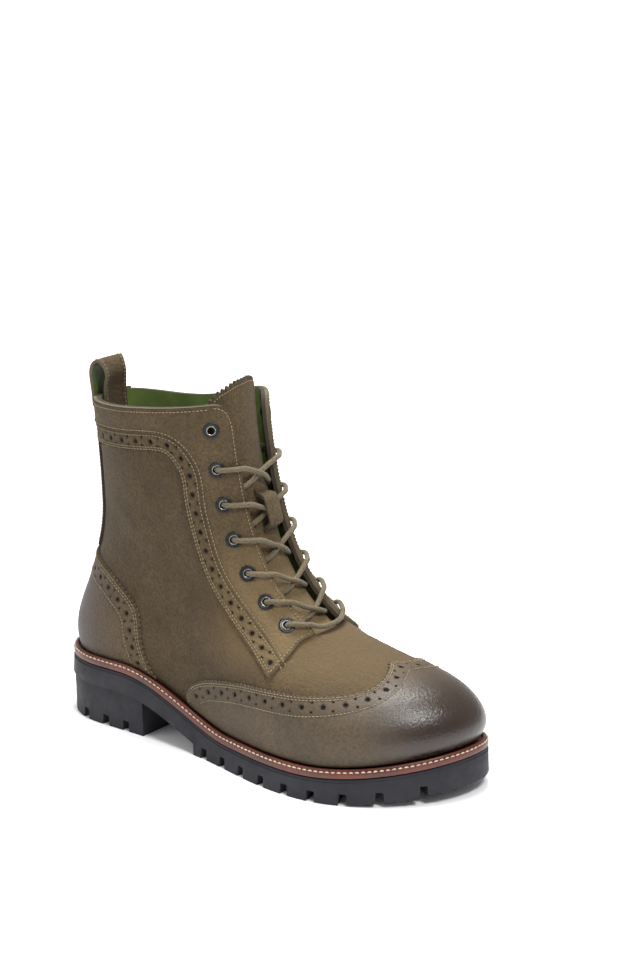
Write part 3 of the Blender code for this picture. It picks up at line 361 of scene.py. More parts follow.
def u_by_distance(v, side, distance):
    """u at a distance from the front centre, along section v."""
    return side * distance / half_length(v, side)


def u_by_x(v, side, x):
    """u at which section v has this x, measured from the heel's back."""
    ring = half_ring(float(v), side)
    gone = arc_lengths(ring)
    return side * np.interp(-x, -(ring[:, 0] + HEEL_CENTRE), gone) / gone[-1]


def u_from_back(v, side, distance):
    """u at a distance from the back seam."""
    return side * (1 - distance / half_length(v, side))


def circle(u, v, radius, count):
    """A round outline on the skin."""
    centre = np.repeat([[u, v]], count, axis=0)
    e1 = mixed(ROUND_WAYS, centre[:1])[0]
    e1 /= np.linalg.norm(e1)
    e2 = np.cross(normals_at(centre[:1])[0], e1)
    angles = 2 * np.pi * np.arange(count) / count
    return moved(centre, radius * (np.cos(angles)[:, None] * e1 + np.sin(angles)[:, None] * e2))


def table_edge(rows, side, steps=6):
    """A pattern edge from its table of (share of LENGTH, v)."""
    rows = np.array(rows)
    at = np.linspace(0, len(rows) - 1, steps * (len(rows) - 1) + 1)
    xs = curve_at(range(len(rows)), rows[:, 0], at)
    vs = np.maximum(curve_at(range(len(rows)), rows[:, 1], at), 0.0)
    return np.array([(u_by_x(v, side, x * LENGTH), v) for x, v in zip(xs, vs)])


print("half the collar is", round(float(half_length(COLLAR, -1)), 4), "m long")

# %% [markdown]
# ## Colours and finishes
# The upper is oiled nubuck: matt, finely napped, mottled, darker where it is burnished and along cut
# edges, where the darkening is partly painted shade. A painted image would fix the detail at one size,
# so each finish is a small tree of noise nodes in object space, and values stored on the mesh say how far
# each point is burnished, how near it is to an edge, a hole or a seam, and how much paler it is over the
# instep, which is partly painted light.

# %% Colours of the boot
NUBUCK = (0.084, 0.056, 0.0255)
NUBUCK_DARK = (0.034, 0.0220, 0.0105)
TAN = (0.108, 0.074, 0.035)
TAN_DARK = (0.045, 0.030, 0.0145)
BURNT = (0.017, 0.0090, 0.0055)
HEEL_BURNT = (0.050, 0.040, 0.040)
# the green lining's colour, darkened for the shade it sits in inside the boot: partly painted shade
LINING_WITH_SHADE = (0.080, 0.120, 0.020)
THREAD = (0.270, 0.215, 0.120)
CREAM = (0.62, 0.52, 0.36)
CUT_EDGE = (0.110, 0.082, 0.045)
print("nubuck", NUBUCK, "lining", LINING_WITH_SHADE)


# %% Node helpers
class Finish:
    """A material and short ways to add nodes to it."""

    def __init__(self, name):
        self.material = bpy.data.materials.new(name)
        self.material.use_nodes = True
        self.nodes = self.material.node_tree.nodes
        self.links = self.material.node_tree.links
        self.shader = self.nodes["Principled BSDF"]
        self.coordinates = self.nodes.new("ShaderNodeTexCoord").outputs["Object"]

    def join(self, output, socket):
        if hasattr(output, "links"):
            self.links.new(output, socket)
        else:
            socket.default_value = output

    def noise(self, scale, detail=4.0, rough=0.55, source=None, stretch=None):
        node = self.nodes.new("ShaderNodeTexNoise")
        node.inputs["Scale"].default_value = scale
        node.inputs["Detail"].default_value = detail
        node.inputs["Roughness"].default_value = rough
        where = source or self.coordinates
        if stretch:
            mapping = self.nodes.new("ShaderNodeMapping")
            mapping.inputs["Scale"].default_value = stretch
            self.links.new(where, mapping.inputs["Vector"])
            where = mapping.outputs["Vector"]
        self.links.new(where, node.inputs["Vector"])
        return node.outputs["Fac"]

    def pores(self, scale):
        node = self.nodes.new("ShaderNodeTexVoronoi")
        node.inputs["Scale"].default_value = scale
        self.links.new(self.coordinates, node.inputs["Vector"])
        return node.outputs["Distance"]

    def span(self, value, low, high, to_low=0.0, to_high=1.0):
        node = self.nodes.new("ShaderNodeMapRange")
        self.links.new(value, node.inputs["Value"])
        node.inputs["From Min"].default_value = low
        node.inputs["From Max"].default_value = high
        node.inputs["To Min"].default_value = to_low
        node.inputs["To Max"].default_value = to_high
        return node.outputs["Result"]

    def maths(self, operation, a, b):
        node = self.nodes.new("ShaderNodeMath")
        node.operation = operation
        self.join(a, node.inputs[0])
        self.join(b, node.inputs[1])
        return node.outputs[0]

    def blend(self, share, a, b):
        node = self.nodes.new("ShaderNodeMix")
        node.data_type = "RGBA"
        self.join(share, node.inputs[0])
        for value, socket in ((a, node.inputs[6]), (b, node.inputs[7])):
            if isinstance(value, tuple):
                socket.default_value = (*value, 1.0)
            else:
                self.links.new(value, socket)
        return node.outputs[2]

    def stored(self, name):
        node = self.nodes.new("ShaderNodeAttribute")
        node.attribute_name = name
        return node.outputs["Fac"]

    def colour(self, value):
        if isinstance(value, tuple):
            self.shader.inputs["Base Color"].default_value = (*value, 1.0)
        else:
            self.links.new(value, self.shader.inputs["Base Color"])

    def rough(self, value):
        self.join(value, self.shader.inputs["Roughness"])

    def bump(self, height, strength, distance):
        node = self.nodes.new("ShaderNodeBump")
        node.inputs["Strength"].default_value = strength
        node.inputs["Distance"].default_value = distance
        self.links.new(height, node.inputs["Height"])
        self.links.new(node.outputs["Normal"], self.shader.inputs["Normal"])


print("a finish can", [name for name in vars(Finish) if not name.startswith("_")])


# %% Nubuck, lining and cut edges
def shade(colour, factor):
    """A darker or lighter colour of the same hue."""
    return tuple(c * factor for c in colour)


def nubuck(name, light, dark, burnt, rough=0.78, burnt_rough=0.42, gloss=0.22, depth=0.0005):
    """Napped leather, mottled, burnished or paler where the mesh says so, and darker along its edges, holes
    and seams: the paler instep is partly painted light, the darker edges partly painted shade.
    """
    made = Finish(name)
    cloud = made.span(made.noise(38, 5, 0.6), 0.36, 0.66)
    streak = made.span(made.noise(190, 4, 0.6, stretch=(1, 1, 0.35)), 0.35, 0.7)
    base = made.blend(made.maths("MULTIPLY", cloud, 0.45), light, dark)
    base = made.blend(made.maths("MULTIPLY", streak, 0.30), base, dark)
    nap = made.span(made.noise(620, 3, 0.75), 0.44, 0.60)
    base = made.blend(made.maths("MULTIPLY", nap, 0.55), base, shade(dark, 0.55))
    grain = made.noise(1500, 3, 0.6)
    base = made.blend(made.span(grain, 0.42, 0.66, 0.0, 0.42), base, dark)
    # paler over the instep: partly paler leather, partly painted light where the vamp faces up
    base = made.blend(made.maths("MULTIPLY", made.stored("pale"), 0.50), base, shade(light, 1.75))
    # darker along edges, round holes, in stitch grooves and at seam steps: partly the cut leather's darker
    # edge, partly painted shade in these dips
    rim = made.maths("MULTIPLY", made.stored("rim"), 0.7)
    base = made.blend(rim, base, shade(dark, 0.7))
    worn = made.span(made.noise(26, 4, 0.6), 0.25, 0.75, -0.10, 0.10)
    share = made.maths("ADD", made.stored("burnish"), made.maths("MULTIPLY", worn, 1.0))
    share = made.span(share, 0.02, 1.0)
    made.colour(made.blend(share, base, burnt))
    made.rough(made.span(share, 0.0, 1.0, rough, burnt_rough))
    made.shader.inputs["Sheen Weight"].default_value = 0.04
    made.shader.inputs["Sheen Roughness"].default_value = 0.5
    made.shader.inputs["Specular IOR Level"].default_value = gloss
    fine = made.maths("ADD", grain, made.maths("MULTIPLY", made.noise(420, 4, 0.6), 0.9))
    fine = made.maths("ADD", fine, made.maths("MULTIPLY", made.pores(620), 0.8))
    made.bump(fine, 0.85, depth)
    return made.material


def plain_leather(name, light, dark, rough, scale=300, bump=0.0001):
    """Smooth leather or lining with fine pores."""
    made = Finish(name)
    made.colour(made.blend(made.span(made.noise(scale / 6, 5, 0.6), 0.35, 0.68), light, dark))
    made.rough(made.span(made.noise(scale, 3), 0.3, 0.7, rough - 0.06, rough + 0.08))
    made.bump(made.maths("ADD", made.noise(scale * 3, 4, 0.6), made.pores(scale * 2)), 0.3, bump)
    return made.material


upper_nubuck = nubuck("upper_nubuck", NUBUCK, NUBUCK_DARK, HEEL_BURNT)
facing_nubuck = nubuck("facing_nubuck", TAN, TAN_DARK, BURNT)
toe_nubuck = nubuck("toe_nubuck", shade(NUBUCK, 1.12), NUBUCK_DARK, BURNT, 0.76, 0.23, 0.5,
                    depth=0.00016)
counter_nubuck = nubuck("counter_nubuck", shade(NUBUCK, 1.3), shade(NUBUCK_DARK, 1.5), HEEL_BURNT,
                        0.74, 0.46, 0.30)
lining_leather = plain_leather("lining_leather", LINING_WITH_SHADE, shade(LINING_WITH_SHADE, 0.55), 0.5)
cut_edge = plain_leather("cut_edge", CUT_EDGE, shade(CUT_EDGE, 0.6), 0.8, 500)
# cut walls darker than the leather: partly the edge's own colour, partly painted shade in the throat
dark_edge_and_shade = plain_leather("dark_edge_and_shade", shade(NUBUCK_DARK, 0.8), shade(NUBUCK_DARK, 0.5), 0.8, 500)
# near-black finish for the discs behind the holes: painted shade
hole_shadow = plain_leather("hole_shadow", (0.010, 0.007, 0.004), (0.006, 0.004, 0.003), 0.9, 500)
print("leathers", [m.name for m in bpy.data.materials])

# %% [markdown]
# ## Thread, cord, rubber and metal
# The hard and the small materials are made the same way, each with the unevenness that the real one
# shows from a hand's width away: waxed thread, a braided lace, moulded rubber, dulled metal, zip cloth.


# %% Thread, cord, rubber, metal
def thread_finish(name, light, dark):
    """Waxed sewing thread, a little uneven in colour."""
    made = Finish(name)
    made.colour(made.blend(made.span(made.noise(900, 3), 0.35, 0.65), light, dark))
    made.rough(made.span(made.noise(600, 2), 0.3, 0.7, 0.62, 0.8))
    made.bump(made.noise(4000, 2), 0.4, 0.00006)
    return made.material


def cord_finish():
    """Braided cord: light and dark strands by the mesh's own (round, along) coordinates."""
    made = Finish("lace_cord")
    uv = made.nodes.new("ShaderNodeUVMap")
    uv.uv_map = "braid"
    split = made.nodes.new("ShaderNodeSeparateXYZ")
    made.links.new(uv.outputs["UV"], split.inputs[0])
    left = made.maths("ADD", split.outputs["X"], split.outputs["Y"])
    right = made.maths("SUBTRACT", split.outputs["X"], split.outputs["Y"])
    waves = [made.maths("SINE", made.maths("MULTIPLY", w, 2 * math.pi), 0.0) for w in (left, right)]
    fleck = made.maths("MAXIMUM", *waves)
    mottle = made.noise(700, 3, 0.6)
    share = made.maths("ADD", made.span(fleck, 0.1, 1.0, 0.0, 0.25), made.span(mottle, 0.3, 0.7, 0.0, 0.6))
    made.colour(made.blend(share, (0.050, 0.038, 0.018), (0.150, 0.114, 0.056)))
    made.rough(made.span(mottle, 0.3, 0.7, 0.72, 0.9))
    made.shader.inputs["Sheen Weight"].default_value = 0.15
    made.bump(made.maths("ADD", fleck, made.noise(3000, 2)), 0.35, 0.00012)
    return made.material


def rubber_finish():
    """Dark grey rubber, dull, with faint streaks from the mould."""
    made = Finish("sole_rubber")
    cloud = made.span(made.noise(60, 5), 0.35, 0.7)
    made.colour(made.blend(cloud, (0.010, 0.010, 0.0135), (0.019, 0.019, 0.024)))
    made.rough(made.span(made.noise(240, 4), 0.3, 0.7, 0.58, 0.76))
    made.shader.inputs["Specular IOR Level"].default_value = 0.32
    fine = made.maths("ADD", made.noise(2200, 3), made.noise(380, 3, 0.5, stretch=(0.4, 0.4, 2.5)))
    made.bump(fine, 0.22, 0.00012)
    return made.material


def metal_finish(name, colour, rough, spot=0.25):
    """Metal that has dulled in spots."""
    made = Finish(name)
    made.shader.inputs["Metallic"].default_value = 1.0
    made.colour(made.blend(made.span(made.noise(260, 4), 0.35, 0.7, 0.0, spot), colour, shade(colour, 0.35)))
    made.rough(made.span(made.noise(500, 4), 0.3, 0.7, rough, rough + 0.15))
    made.bump(made.noise(1800, 2), 0.12, 0.00005)
    return made.material


def enamel_finish():
    """The eyelets' black enamel."""
    made = Finish("eyelet_enamel")
    cloud = made.span(made.noise(400, 3), 0.4, 0.7)
    made.colour(made.blend(cloud, (0.006, 0.006, 0.007), (0.014, 0.013, 0.012)))
    made.rough(made.span(made.noise(700, 3), 0.3, 0.7, 0.22, 0.36))
    made.shader.inputs["Specular IOR Level"].default_value = 0.35
    return made.material


def weave_finish():
    """Zip cloth: a fine rib across the tape."""
    made = Finish("zip_weave")
    fleck = made.span(made.noise(900, 3), 0.3, 0.7)
    made.colour(made.blend(fleck, (0.050, 0.058, 0.036), (0.085, 0.095, 0.062)))
    made.rough(made.span(made.noise(900, 2), 0.3, 0.7, 0.75, 0.9))
    made.bump(made.noise(1600, 3, 0.6, stretch=(1, 1, 3)), 0.5, 0.0002)
    return made.material


thread = thread_finish("seam_thread", THREAD, shade(THREAD, 0.55))
welt_thread = thread_finish("welt_thread", CREAM, shade(CREAM, 0.7))
cord_braid = cord_finish()
rubber = rubber_finish()
enamel = enamel_finish()
silver = metal_finish("bright_metal", (0.40, 0.385, 0.36), 0.22)
old_metal = metal_finish("aged_metal", (0.20, 0.235, 0.195), 0.34)
stud_metal = metal_finish("stud_metal", (0.30, 0.25, 0.19), 0.35, 0.7)
zip_weave = weave_finish()
welt_leather = plain_leather("welt_leather", (0.108, 0.019, 0.0085), (0.055, 0.011, 0.006), 0.40, 260)
insole_cover = plain_leather("insole_cover", (0.20, 0.155, 0.075), (0.13, 0.10, 0.05), 0.65, 240)
print("finishes", len(bpy.data.materials))

# %% [markdown]
# ## Cutting leather
# A real pattern piece is cut flat, skived and wrapped. We do the same: the outline, the punched holes and
# rows of inner points are triangulated in the flat (u, v) plane, and then lifted off the last as a top,
# an underside and an edge. Booleans on a curved shell would be slower and leave ragged edges.


# %% Inside test
def inside(places, loops):
    """Which places lie inside an odd number of loops."""
    found = np.zeros(len(places), bool)
    x, y = places[:, 0], places[:, 1]
    for loop in loops:
        for (x0, y0), (x1, y1) in zip(loop, np.roll(loop, -1, axis=0)):
            if y0 != y1:
                crosses = ((y0 > y) != (y1 > y)) & (x < (x1 - x0) * (y - y0) / (y1 - y0) + x0)
                found ^= crosses
    return found


square = np.array([(0.0, 0.0), (1.0, 0.0), (1.0, 1.0), (0.0, 1.0)])
print("inside a square, and beside it:", inside(np.array([(0.5, 0.5), (2.0, 0.5)]), [square]))


# %% From points and faces to a piece of the boot
def mesh_piece(name, points, faces, materials, slots=None, sharp=42.0, stored=None, replaces=(), slot=None,
               body="boot"):
    """An object from points and faces, riding on a body."""
    mesh = bpy.data.meshes.new(name)
    mesh.from_pydata([tuple(p) for p in points], [], faces)
    for material in materials:
        mesh.materials.append(material)
    if slots is not None:
        mesh.polygons.foreach_set("material_index", np.asarray(slots, np.int32))
    mesh.polygons.foreach_set("use_smooth", np.ones(len(mesh.polygons), bool))
    mesh.update()
    mesh.set_sharp_from_angle(angle=math.radians(sharp))
    for key, values in (stored or {}).items():
        layer = mesh.attributes.new(key, "FLOAT", "POINT")
        layer.data.foreach_set("value", np.asarray(values, np.float32))
    made = shown(name, mesh)
    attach(made, body)
    if replaces:
        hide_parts(*replaces)
    return made


def faced_out(made, weld=False):
    """The closed piece with its faces pointing out, its doubled points joined where asked."""
    bm = bmesh.new()
    bm.from_mesh(made.data)
    if weld:
        bmesh.ops.remove_doubles(bm, verts=bm.verts, dist=1e-6)
        bmesh.ops.dissolve_degenerate(bm, edges=bm.edges, dist=1e-7)
    bmesh.ops.recalc_face_normals(bm, faces=bm.faces)
    if bm.calc_volume(signed=True) < 0:
        bmesh.ops.reverse_faces(bm, faces=bm.faces)
    bm.to_mesh(made.data)
    bm.free()
    return made


PLANE_SCALE = 22.0


def turned_left(outline):
    """The outline running so that its inside is on the left."""
    x, y = outline[:, 0] * PLANE_SCALE, outline[:, 1]
    area = np.sum(x * np.roll(y, -1) - np.roll(x, -1) * y)
    return outline if area > 0 else outline[::-1]


# %% Where the leather is burnished or paler
def toe_burnish(uv):
    """How far the toe is burnished: all of the tip, fading out softly towards the wing."""
    points = mixed(LAST_POINTS, uv)
    forward = ease((points[:, 0] - 0.172) / 0.066)
    low = 1 - ease((points[:, 2] - 0.045) / 0.050)
    side = 1 - ease((np.abs(points[:, 1] - 0.012) - 0.030) / 0.026)
    return np.clip(0.92 * forward * (0.45 + 0.55 * side) * (0.55 + 0.45 * low) + 0.04, 0, 1)


def heel_burnish(uv):
    """How far the heel is burnished: round the back, above the welt."""
    points = mixed(LAST_POINTS, uv)
    backward = 1 - ease((points[:, 0] + 0.030) / 0.060)
    low = 1 - ease((points[:, 2] - 0.078) / 0.040)
    return np.clip(0.85 * backward * low, 0, 1)


def no_burnish(uv):
    """Leather that isn't burnished anywhere."""
    return np.zeros(len(uv))


def vamp_paler_and_lit(uv):
    """How much paler the leather is over the instep: partly a paler tan, partly painted light where the vamp
    faces up.
    """
    points = mixed(LAST_POINTS, uv)
    forward = ease((points[:, 0] - 0.070) / 0.055)
    high = ease((points[:, 2] - 0.050) / 0.030) * (1 - ease((points[:, 2] - 0.110) / 0.045))
    return forward * high


front_low, back_low = np.array([(0.0, 2.0)]), np.array([(1.0, 2.0)])
print("burnished at the toe", toe_burnish(front_low), "and at the heel", heel_burnish(back_low))


# %% Flat patterns
def triangulated(places, loops, merge, scale=1.0):
    """Triangles inside the loops, which are the first of the places, with the loops' edges kept."""
    edges, start = [], 0
    for loop in loops:
        edges.extend((start + k, start + (k + 1) % len(loop)) for k in range(len(loop)))
        start += len(loop)
    flat = [Vector((x * scale, y)) for x, y in places]
    found, _, faces, origins, *_ = delaunay_2d_cdt(flat, edges, [], 0, merge)
    found = np.array([(p[0] / scale, p[1]) for p in found])
    faces = np.array([f for f in faces if len(f) == 3])
    return found, faces[inside(found[faces].mean(axis=1), loops)], origins


def walls_of(faces, count):
    """Walls from the open edges of a sheet to those of its copy, whose points come count later."""
    ways = {(a, b) for face in faces for a, b in zip(face, (*face[1:], face[0]))}
    return [(b, a, a + count, b + count) for a, b in ways if (b, a) not in ways]


def joined_at_back(uv, faces):
    """Faces that share their points where u = 1 and u = -1 are the same back seam."""
    first_with, index = {}, np.zeros(len(uv), int)
    for k, (u, v) in enumerate(uv):
        key = (round((u + 1) % 2, 6) % 2, round(v, 5))
        index[k] = first_with.setdefault(key, k)
    faces = index[faces]
    a, b, c = faces.T
    return faces[(a != b) & (b != c) & (a != c)]


def free_places(outline, loops, taken_places, spacing):
    """Staggered rows of places inside the loops, clear of the places already taken."""
    taken = KDTree(len(taken_places))
    for k, point in enumerate(place(taken_places)):
        taken.insert(point, k)
    taken.balance()
    (low_u, low_v), (high_u, high_v) = outline.min(axis=0), outline.max(axis=0)
    rows, v = [], low_v
    while v < high_v:
        middle = np.array([[(low_u + high_u) / 2, v]])
        tall = np.linalg.norm(mixed(UP_WAYS, middle)[0])
        wide = np.linalg.norm(mixed(ROUND_WAYS, middle)[0])
        us = np.arange(low_u + (len(rows) % 2) * spacing / wide / 2, high_u, spacing / wide)
        rows.append(np.column_stack([us, np.full(len(us), v)]))
        v += spacing * 0.9 / max(tall, 0.004)
    free = np.concatenate(rows)
    free = free[inside(free, loops)]
    reach = np.array([taken.find(point)[2] for point in place(free)])
    return free[reach > 0.55 * spacing]


print("a square is cut into", len(triangulated(square, [square], 1e-7)[1]), "triangles")


# %% Rings of places round edges, holes and stitch rows
def level(places, lift, rim):
    """Places with one lift off the last and one share of the darker rim, which is partly painted shade."""
    return places, np.full(len(places), lift), np.full(len(places), rim)


def edge_rings(outline, holes, high, edge):
    """The outline and the holes as loops, and the softer rings inside them."""
    # the rim share darkens the piece's edge and the holes' rims: partly the cut leather's edge, partly
    # painted shade
    loops = [level(outline, high - 0.8 * edge, 1.0)]
    rings = [level(moved(outline, left_of(outline, closed=True) * edge), high, 0.75)]
    for u, v, radius in holes:
        count = 14 if radius > 0.001 else 9
        loops.append(level(circle(u, v, radius, count), high - 0.00035, 1.0))
        for wider, rim in ((0.0004, 0.8), (0.0012, 0.1)):
            rings.append(level(circle(u, v, radius + wider, count), high, rim))
    return loops, rings


def row_rings(rows, step, high):
    """Places beside each stitch row, pressed in under the thread, and on both sides of a step."""
    # the rim shares below darken the groove under each stitch row and both sides of a step: painted shade in
    # these dips
    rings = []
    for row in rows:
        middle = even(row, 0.0013)
        for offset, dip, rim in ((-0.0009, 0.0, 0.10), (0.0, -0.00022, 0.5), (0.0009, 0.0, 0.10)):
            beside_row = moved(middle, left_of(middle) * offset) if offset else middle
            rings.append(level(beside_row, high + dip, rim))
    if step is not None:
        seam = even(step, 0.0010)
        for offset in (-0.00012, 0.00012):
            rings.append(level(moved(seam, left_of(seam) * offset), high, 0.6))
    return rings


print("rings round one hole", len(edge_rings(square * 0.1, [(0.05, 5.0, 0.002)], 0.0, 0.0003)[1]) - 1)


# %% Wrapped pattern pieces
def wrapped(name, outline, low, high, materials, holes=(), rows=(), spacing=0.0030, edge=0.0003,
            burnish=no_burnish, step=None, step_lift=0.0, step_side=None, **options):
    """A pattern piece over the last, with soft edges, punched holes and pressed stitch rows."""
    outline = turned_left(np.asarray(outline, float))
    loops, rings = edge_rings(outline, holes, high, edge)
    rings += row_rings(rows, step, high)
    loop_places = [places for places, *_ in loops]
    taken_places = np.concatenate([places for places, *_ in (*loops, *rings)])
    free = free_places(outline, loop_places, taken_places, spacing)

    places, lifts, rims = (np.concatenate(part) for part in zip(*loops, *rings, level(free, high, 0.0)))
    keep = np.ones(len(places), bool)
    first, last = sum(map(len, loop_places)), len(taken_places)
    keep[first:last] = inside(places[first:last], loop_places)
    lifts, rims = lifts[keep], rims[keep]
    uv, faces, origins = triangulated(places[keep], loop_places, 1e-7, PLANE_SCALE)
    lift = np.array([lifts[o[0]] if o else high for o in origins])
    # rim: how much darker each point is, partly painted shade at edges, holes and seams
    rim = np.array([rims[o[0]] if o else 0.0 for o in origins])
    faces = joined_at_back(uv, faces)
    used, faces_in_use = np.unique(faces, return_inverse=True)
    roof = faces_in_use.reshape(-1, 3).tolist()
    uv, lift, rim = uv[used], lift[used], rim[used]
    if step is not None:
        lift = lift + step_lift * step_side(uv)
    count = len(used)
    points = np.concatenate([place(uv, lift), place(uv, low)])
    floor = [tuple(i + count for i in reversed(f)) for f in roof]
    walls = walls_of(roof, count)
    slots = [0] * len(roof) + [1] * len(floor) + [2] * len(walls)
    # pale: paler over the instep, partly painted light
    values = {"burnish": burnish(uv), "rim": rim, "pale": vamp_paler_and_lit(uv)}
    return mesh_piece(name, points, [*roof, *floor, *walls], materials, slots,
                      stored={key: np.tile(value, 2) for key, value in values.items()}, **options)


def pinked(path, pitch=0.0034, depth=0.0016, samples=8):
    """The path with its edge cut in small scallops, its inside on the left."""
    base = even(path, pitch / samples)
    phase = (np.arange(len(base)) % samples) / samples
    bite = depth * (1 - np.sin(np.pi * phase))
    return moved(base, left_of(base) * bite[:, None])


print("cutting tools ready")

# %% [markdown]
# ## Stitches
# Each seam is a row of separate short threads that dive into the leather at both ends. A bump texture
# would look flat at the boot's edge, and a curve with a bevel makes too many faces, so all threads of a
# piece are built at once as five-sided bars from rows of numbers.


# %% Rows of stitches
STITCH_SIDES, STITCH_RINGS = 5, 5
STITCH_SHARE = 0.76
STITCH_GIRTH = np.array([0.5, 1.0, 1.05, 1.0, 0.5])


def thread_points(lines, outs, radius):
    """Rings of points round short lines of five points each, thinner at both ends."""
    ways = np.gradient(lines, axis=1)
    ways /= np.linalg.norm(ways, axis=2, keepdims=True)
    across = np.cross(ways, outs)
    angles = (2 * np.pi * np.arange(STITCH_SIDES) / STITCH_SIDES)[None, None, :, None]
    rings = lines[:, :, None] + radius * STITCH_GIRTH[None, :, None, None] * (
        np.cos(angles) * outs[:, :, None] + np.sin(angles) * across[:, :, None]
    )
    return rings.reshape(-1, 3)


def thread_mesh(name, points, material, **options):
    """One mesh of all threads, with a round cap at each end of each."""
    points = np.concatenate(points)
    faces, per_thread = [], STITCH_RINGS * STITCH_SIDES
    for first in range(0, len(points), per_thread):
        for r in range(STITCH_RINGS - 1):
            ring = first + r * STITCH_SIDES
            for k in range(STITCH_SIDES):
                a, b = ring + k, ring + (k + 1) % STITCH_SIDES
                faces.append((a, a + STITCH_SIDES, b + STITCH_SIDES, b))
        faces.append(tuple(range(first, first + STITCH_SIDES)))
        faces.append(tuple(reversed(range(first + per_thread - STITCH_SIDES, first + per_thread))))
    print(name, len(points) // per_thread, "stitches")
    return mesh_piece(name, points, faces, [material], sharp=60, **options)


def thread_rows(name, rows, pitch=0.0023, radius=0.00030, material=thread, **options):
    """All stitches along rows on the last, each a (path, lift) pair."""
    points = []
    arch = np.array([-0.00018, 0.00018, 0.00026, 0.00018, -0.00018])
    for path, lift in rows:
        path = even(path, FINE_STEP)
        gone = walked(path)
        count = max(int(gone[-1] / pitch), 1)
        starts = (gone[-1] - count * pitch) / 2 + pitch * (np.arange(count) + (1 - STITCH_SHARE) / 2)
        at = starts[:, None] + pitch * STITCH_SHARE * np.linspace(0, 1, STITCH_RINGS)[None, :]
        uv = read_at(path, gone, at.ravel())
        lines = place(uv, lift + np.tile(arch, count)).reshape(count, STITCH_RINGS, 3)
        points.append(thread_points(lines, normals_at(uv).reshape(count, STITCH_RINGS, 3), radius))
    return thread_mesh(name, points, material, **options)


print("a stitch has", STITCH_RINGS * STITCH_SIDES, "points")


# %% Broguing
def along(path, first, pitch):
    """(u, v) places along the path, at a pitch."""
    path = even(path, FINE_STEP)
    gone = walked(path)
    return read_at(path, gone, np.arange(first, gone[-1], pitch))


all_holes = []


def punched(centre_line, first, pitch, big, small, spread):
    """Broguing: big holes along a line, and a pair of small ones across it between each two."""
    line = even(centre_line, FINE_STEP)
    gone = walked(line)
    lefts = left_of(line)
    holes = [(u, v, big) for u, v in along(line, first, pitch)]
    for at in np.arange(first + pitch / 2, gone[-1], pitch):
        k = [int(np.searchsorted(gone, at))]
        for side in (-1, 1):
            holes.append((*moved(line[k], lefts[k] * spread * side)[0], small))
    all_holes.extend(holes)
    return holes


print("holes so far", len(all_holes))

# %% [markdown]
# ## The lasted body
# The quarters and the vamp are one hollow skin here, 2.4 mm of leather and green lining, open at the
# throat, the collar, the zip and underneath. Its outline is the same as in the CAD model.

# %% Where pieces begin and end
WALL, OVERLAY, GAP = 0.0024, 0.0013, 0.0003
THROAT_HALF, EYELET_INSET, THROAT_BOTTOM = 0.0165, 0.0138, 6.75
EYELET_ROWS = (7.00, 7.87, 8.86, 9.98, 11.07, 12.12, 13.27)
SIDES = {"lateral": -1, "medial": 1}
ZIP_LINE = np.array((
    (0.441, 1.00), (0.428, 2.00), (0.407, 4.00), (0.386, 6.00), (0.366, 8.00), (0.348, 10.0),
    (0.338, 12.0), (0.330, 14.0),
))
ZIP_SLOT = 0.0105
BAND_DEPTH, BACK_STRIP_HALF, COLLAR_DIP = 0.0265, 0.017, 0.5


def collar_v(u):
    """The collar's edge, which dips on the inner side."""
    share = np.clip((u - 0.22) / 0.78, 0, 1)
    return COLLAR - COLLAR_DIP * np.sin(np.pi * share) ** 2


def collar_line(u_from, u_to, steps):
    """A stretch of the collar's edge."""
    us = np.linspace(u_from, u_to, steps + 1)
    return np.column_stack([us, collar_v(us)])


def zip_u(v, offset=0.0):
    """u of the zip's line at section v, offset towards the heel."""
    x = np.interp(v, ZIP_LINE[:, 1], ZIP_LINE[:, 0])
    return u_by_x(v, 1, x * LENGTH - offset)


def zip_edge(offset, vs):
    """A line beside the zip's line, towards the heel where offset is positive."""
    return np.array([(zip_u(v, offset), v) for v in vs])


def throat_line(side, inset=0.0):
    """The throat's edge of one side, up to the collar's rounded front corner."""
    vs = np.linspace(THROAT_BOTTOM, 12.0, 24)
    rise = np.column_stack([[u_by_distance(v, side, THROAT_HALF + inset) for v in vs], vs])
    corner = np.array([(u_by_distance(v, side, THROAT_HALF + inset), v) for v in (12.0, 13.1, COLLAR)])
    far = np.array([corner[-1, 0] + side * 0.075, COLLAR])
    share = np.linspace(0, 1, 14)[:, None]
    bend = (1 - share) ** 2 * corner[1] + 2 * share * (1 - share) * corner[2] + share * share * far
    return np.concatenate([rise, bend])


def depth_below_collar(u, depth):
    """Section number at this distance below the collar's edge."""
    vs = np.arange(float(collar_v(u)), 8.0, -0.05)
    gone = walked(np.column_stack([np.full(len(vs), u), vs]))
    return float(np.interp(depth, gone, vs))


print("the zip's slot is", ZIP_SLOT, "m wide")

# %% The body's outline and skin
half_slot = ZIP_SLOT / 2
slot_vs = np.linspace(1.4, 13.4, 30)
rear_edge, front_edge = zip_edge(half_slot, slot_vs), zip_edge(-half_slot, slot_vs)
seam_vs = np.arange(0.25, COLLAR, 0.25)
bottom_us = np.linspace(-1, 1, 161)
upper_outline = np.concatenate([
    np.column_stack([bottom_us, np.zeros(len(bottom_us))]),
    np.column_stack([np.ones(len(seam_vs)), seam_vs]),
    collar_line(1.0, rear_edge[-1, 0], 36), rear_edge[::-1], front_edge,
    collar_line(front_edge[-1, 0], throat_line(1)[-1, 0], 14)[1:], throat_line(1)[::-1][1:],
    throat_line(-1)[:-1], collar_line(throat_line(-1)[-1, 0], -1.0, 60),
    np.column_stack([-np.ones(len(seam_vs)), seam_vs])[::-1],
])
eyelet_centres = [
    (name, side, k, u_by_distance(v, side, THROAT_HALF + EYELET_INSET), v)
    for name, side in SIDES.items() for k, v in enumerate(EYELET_ROWS)
]
BODY_EYELET_HOLE, FACING_EYELET_HOLE = 0.0036, 0.0034
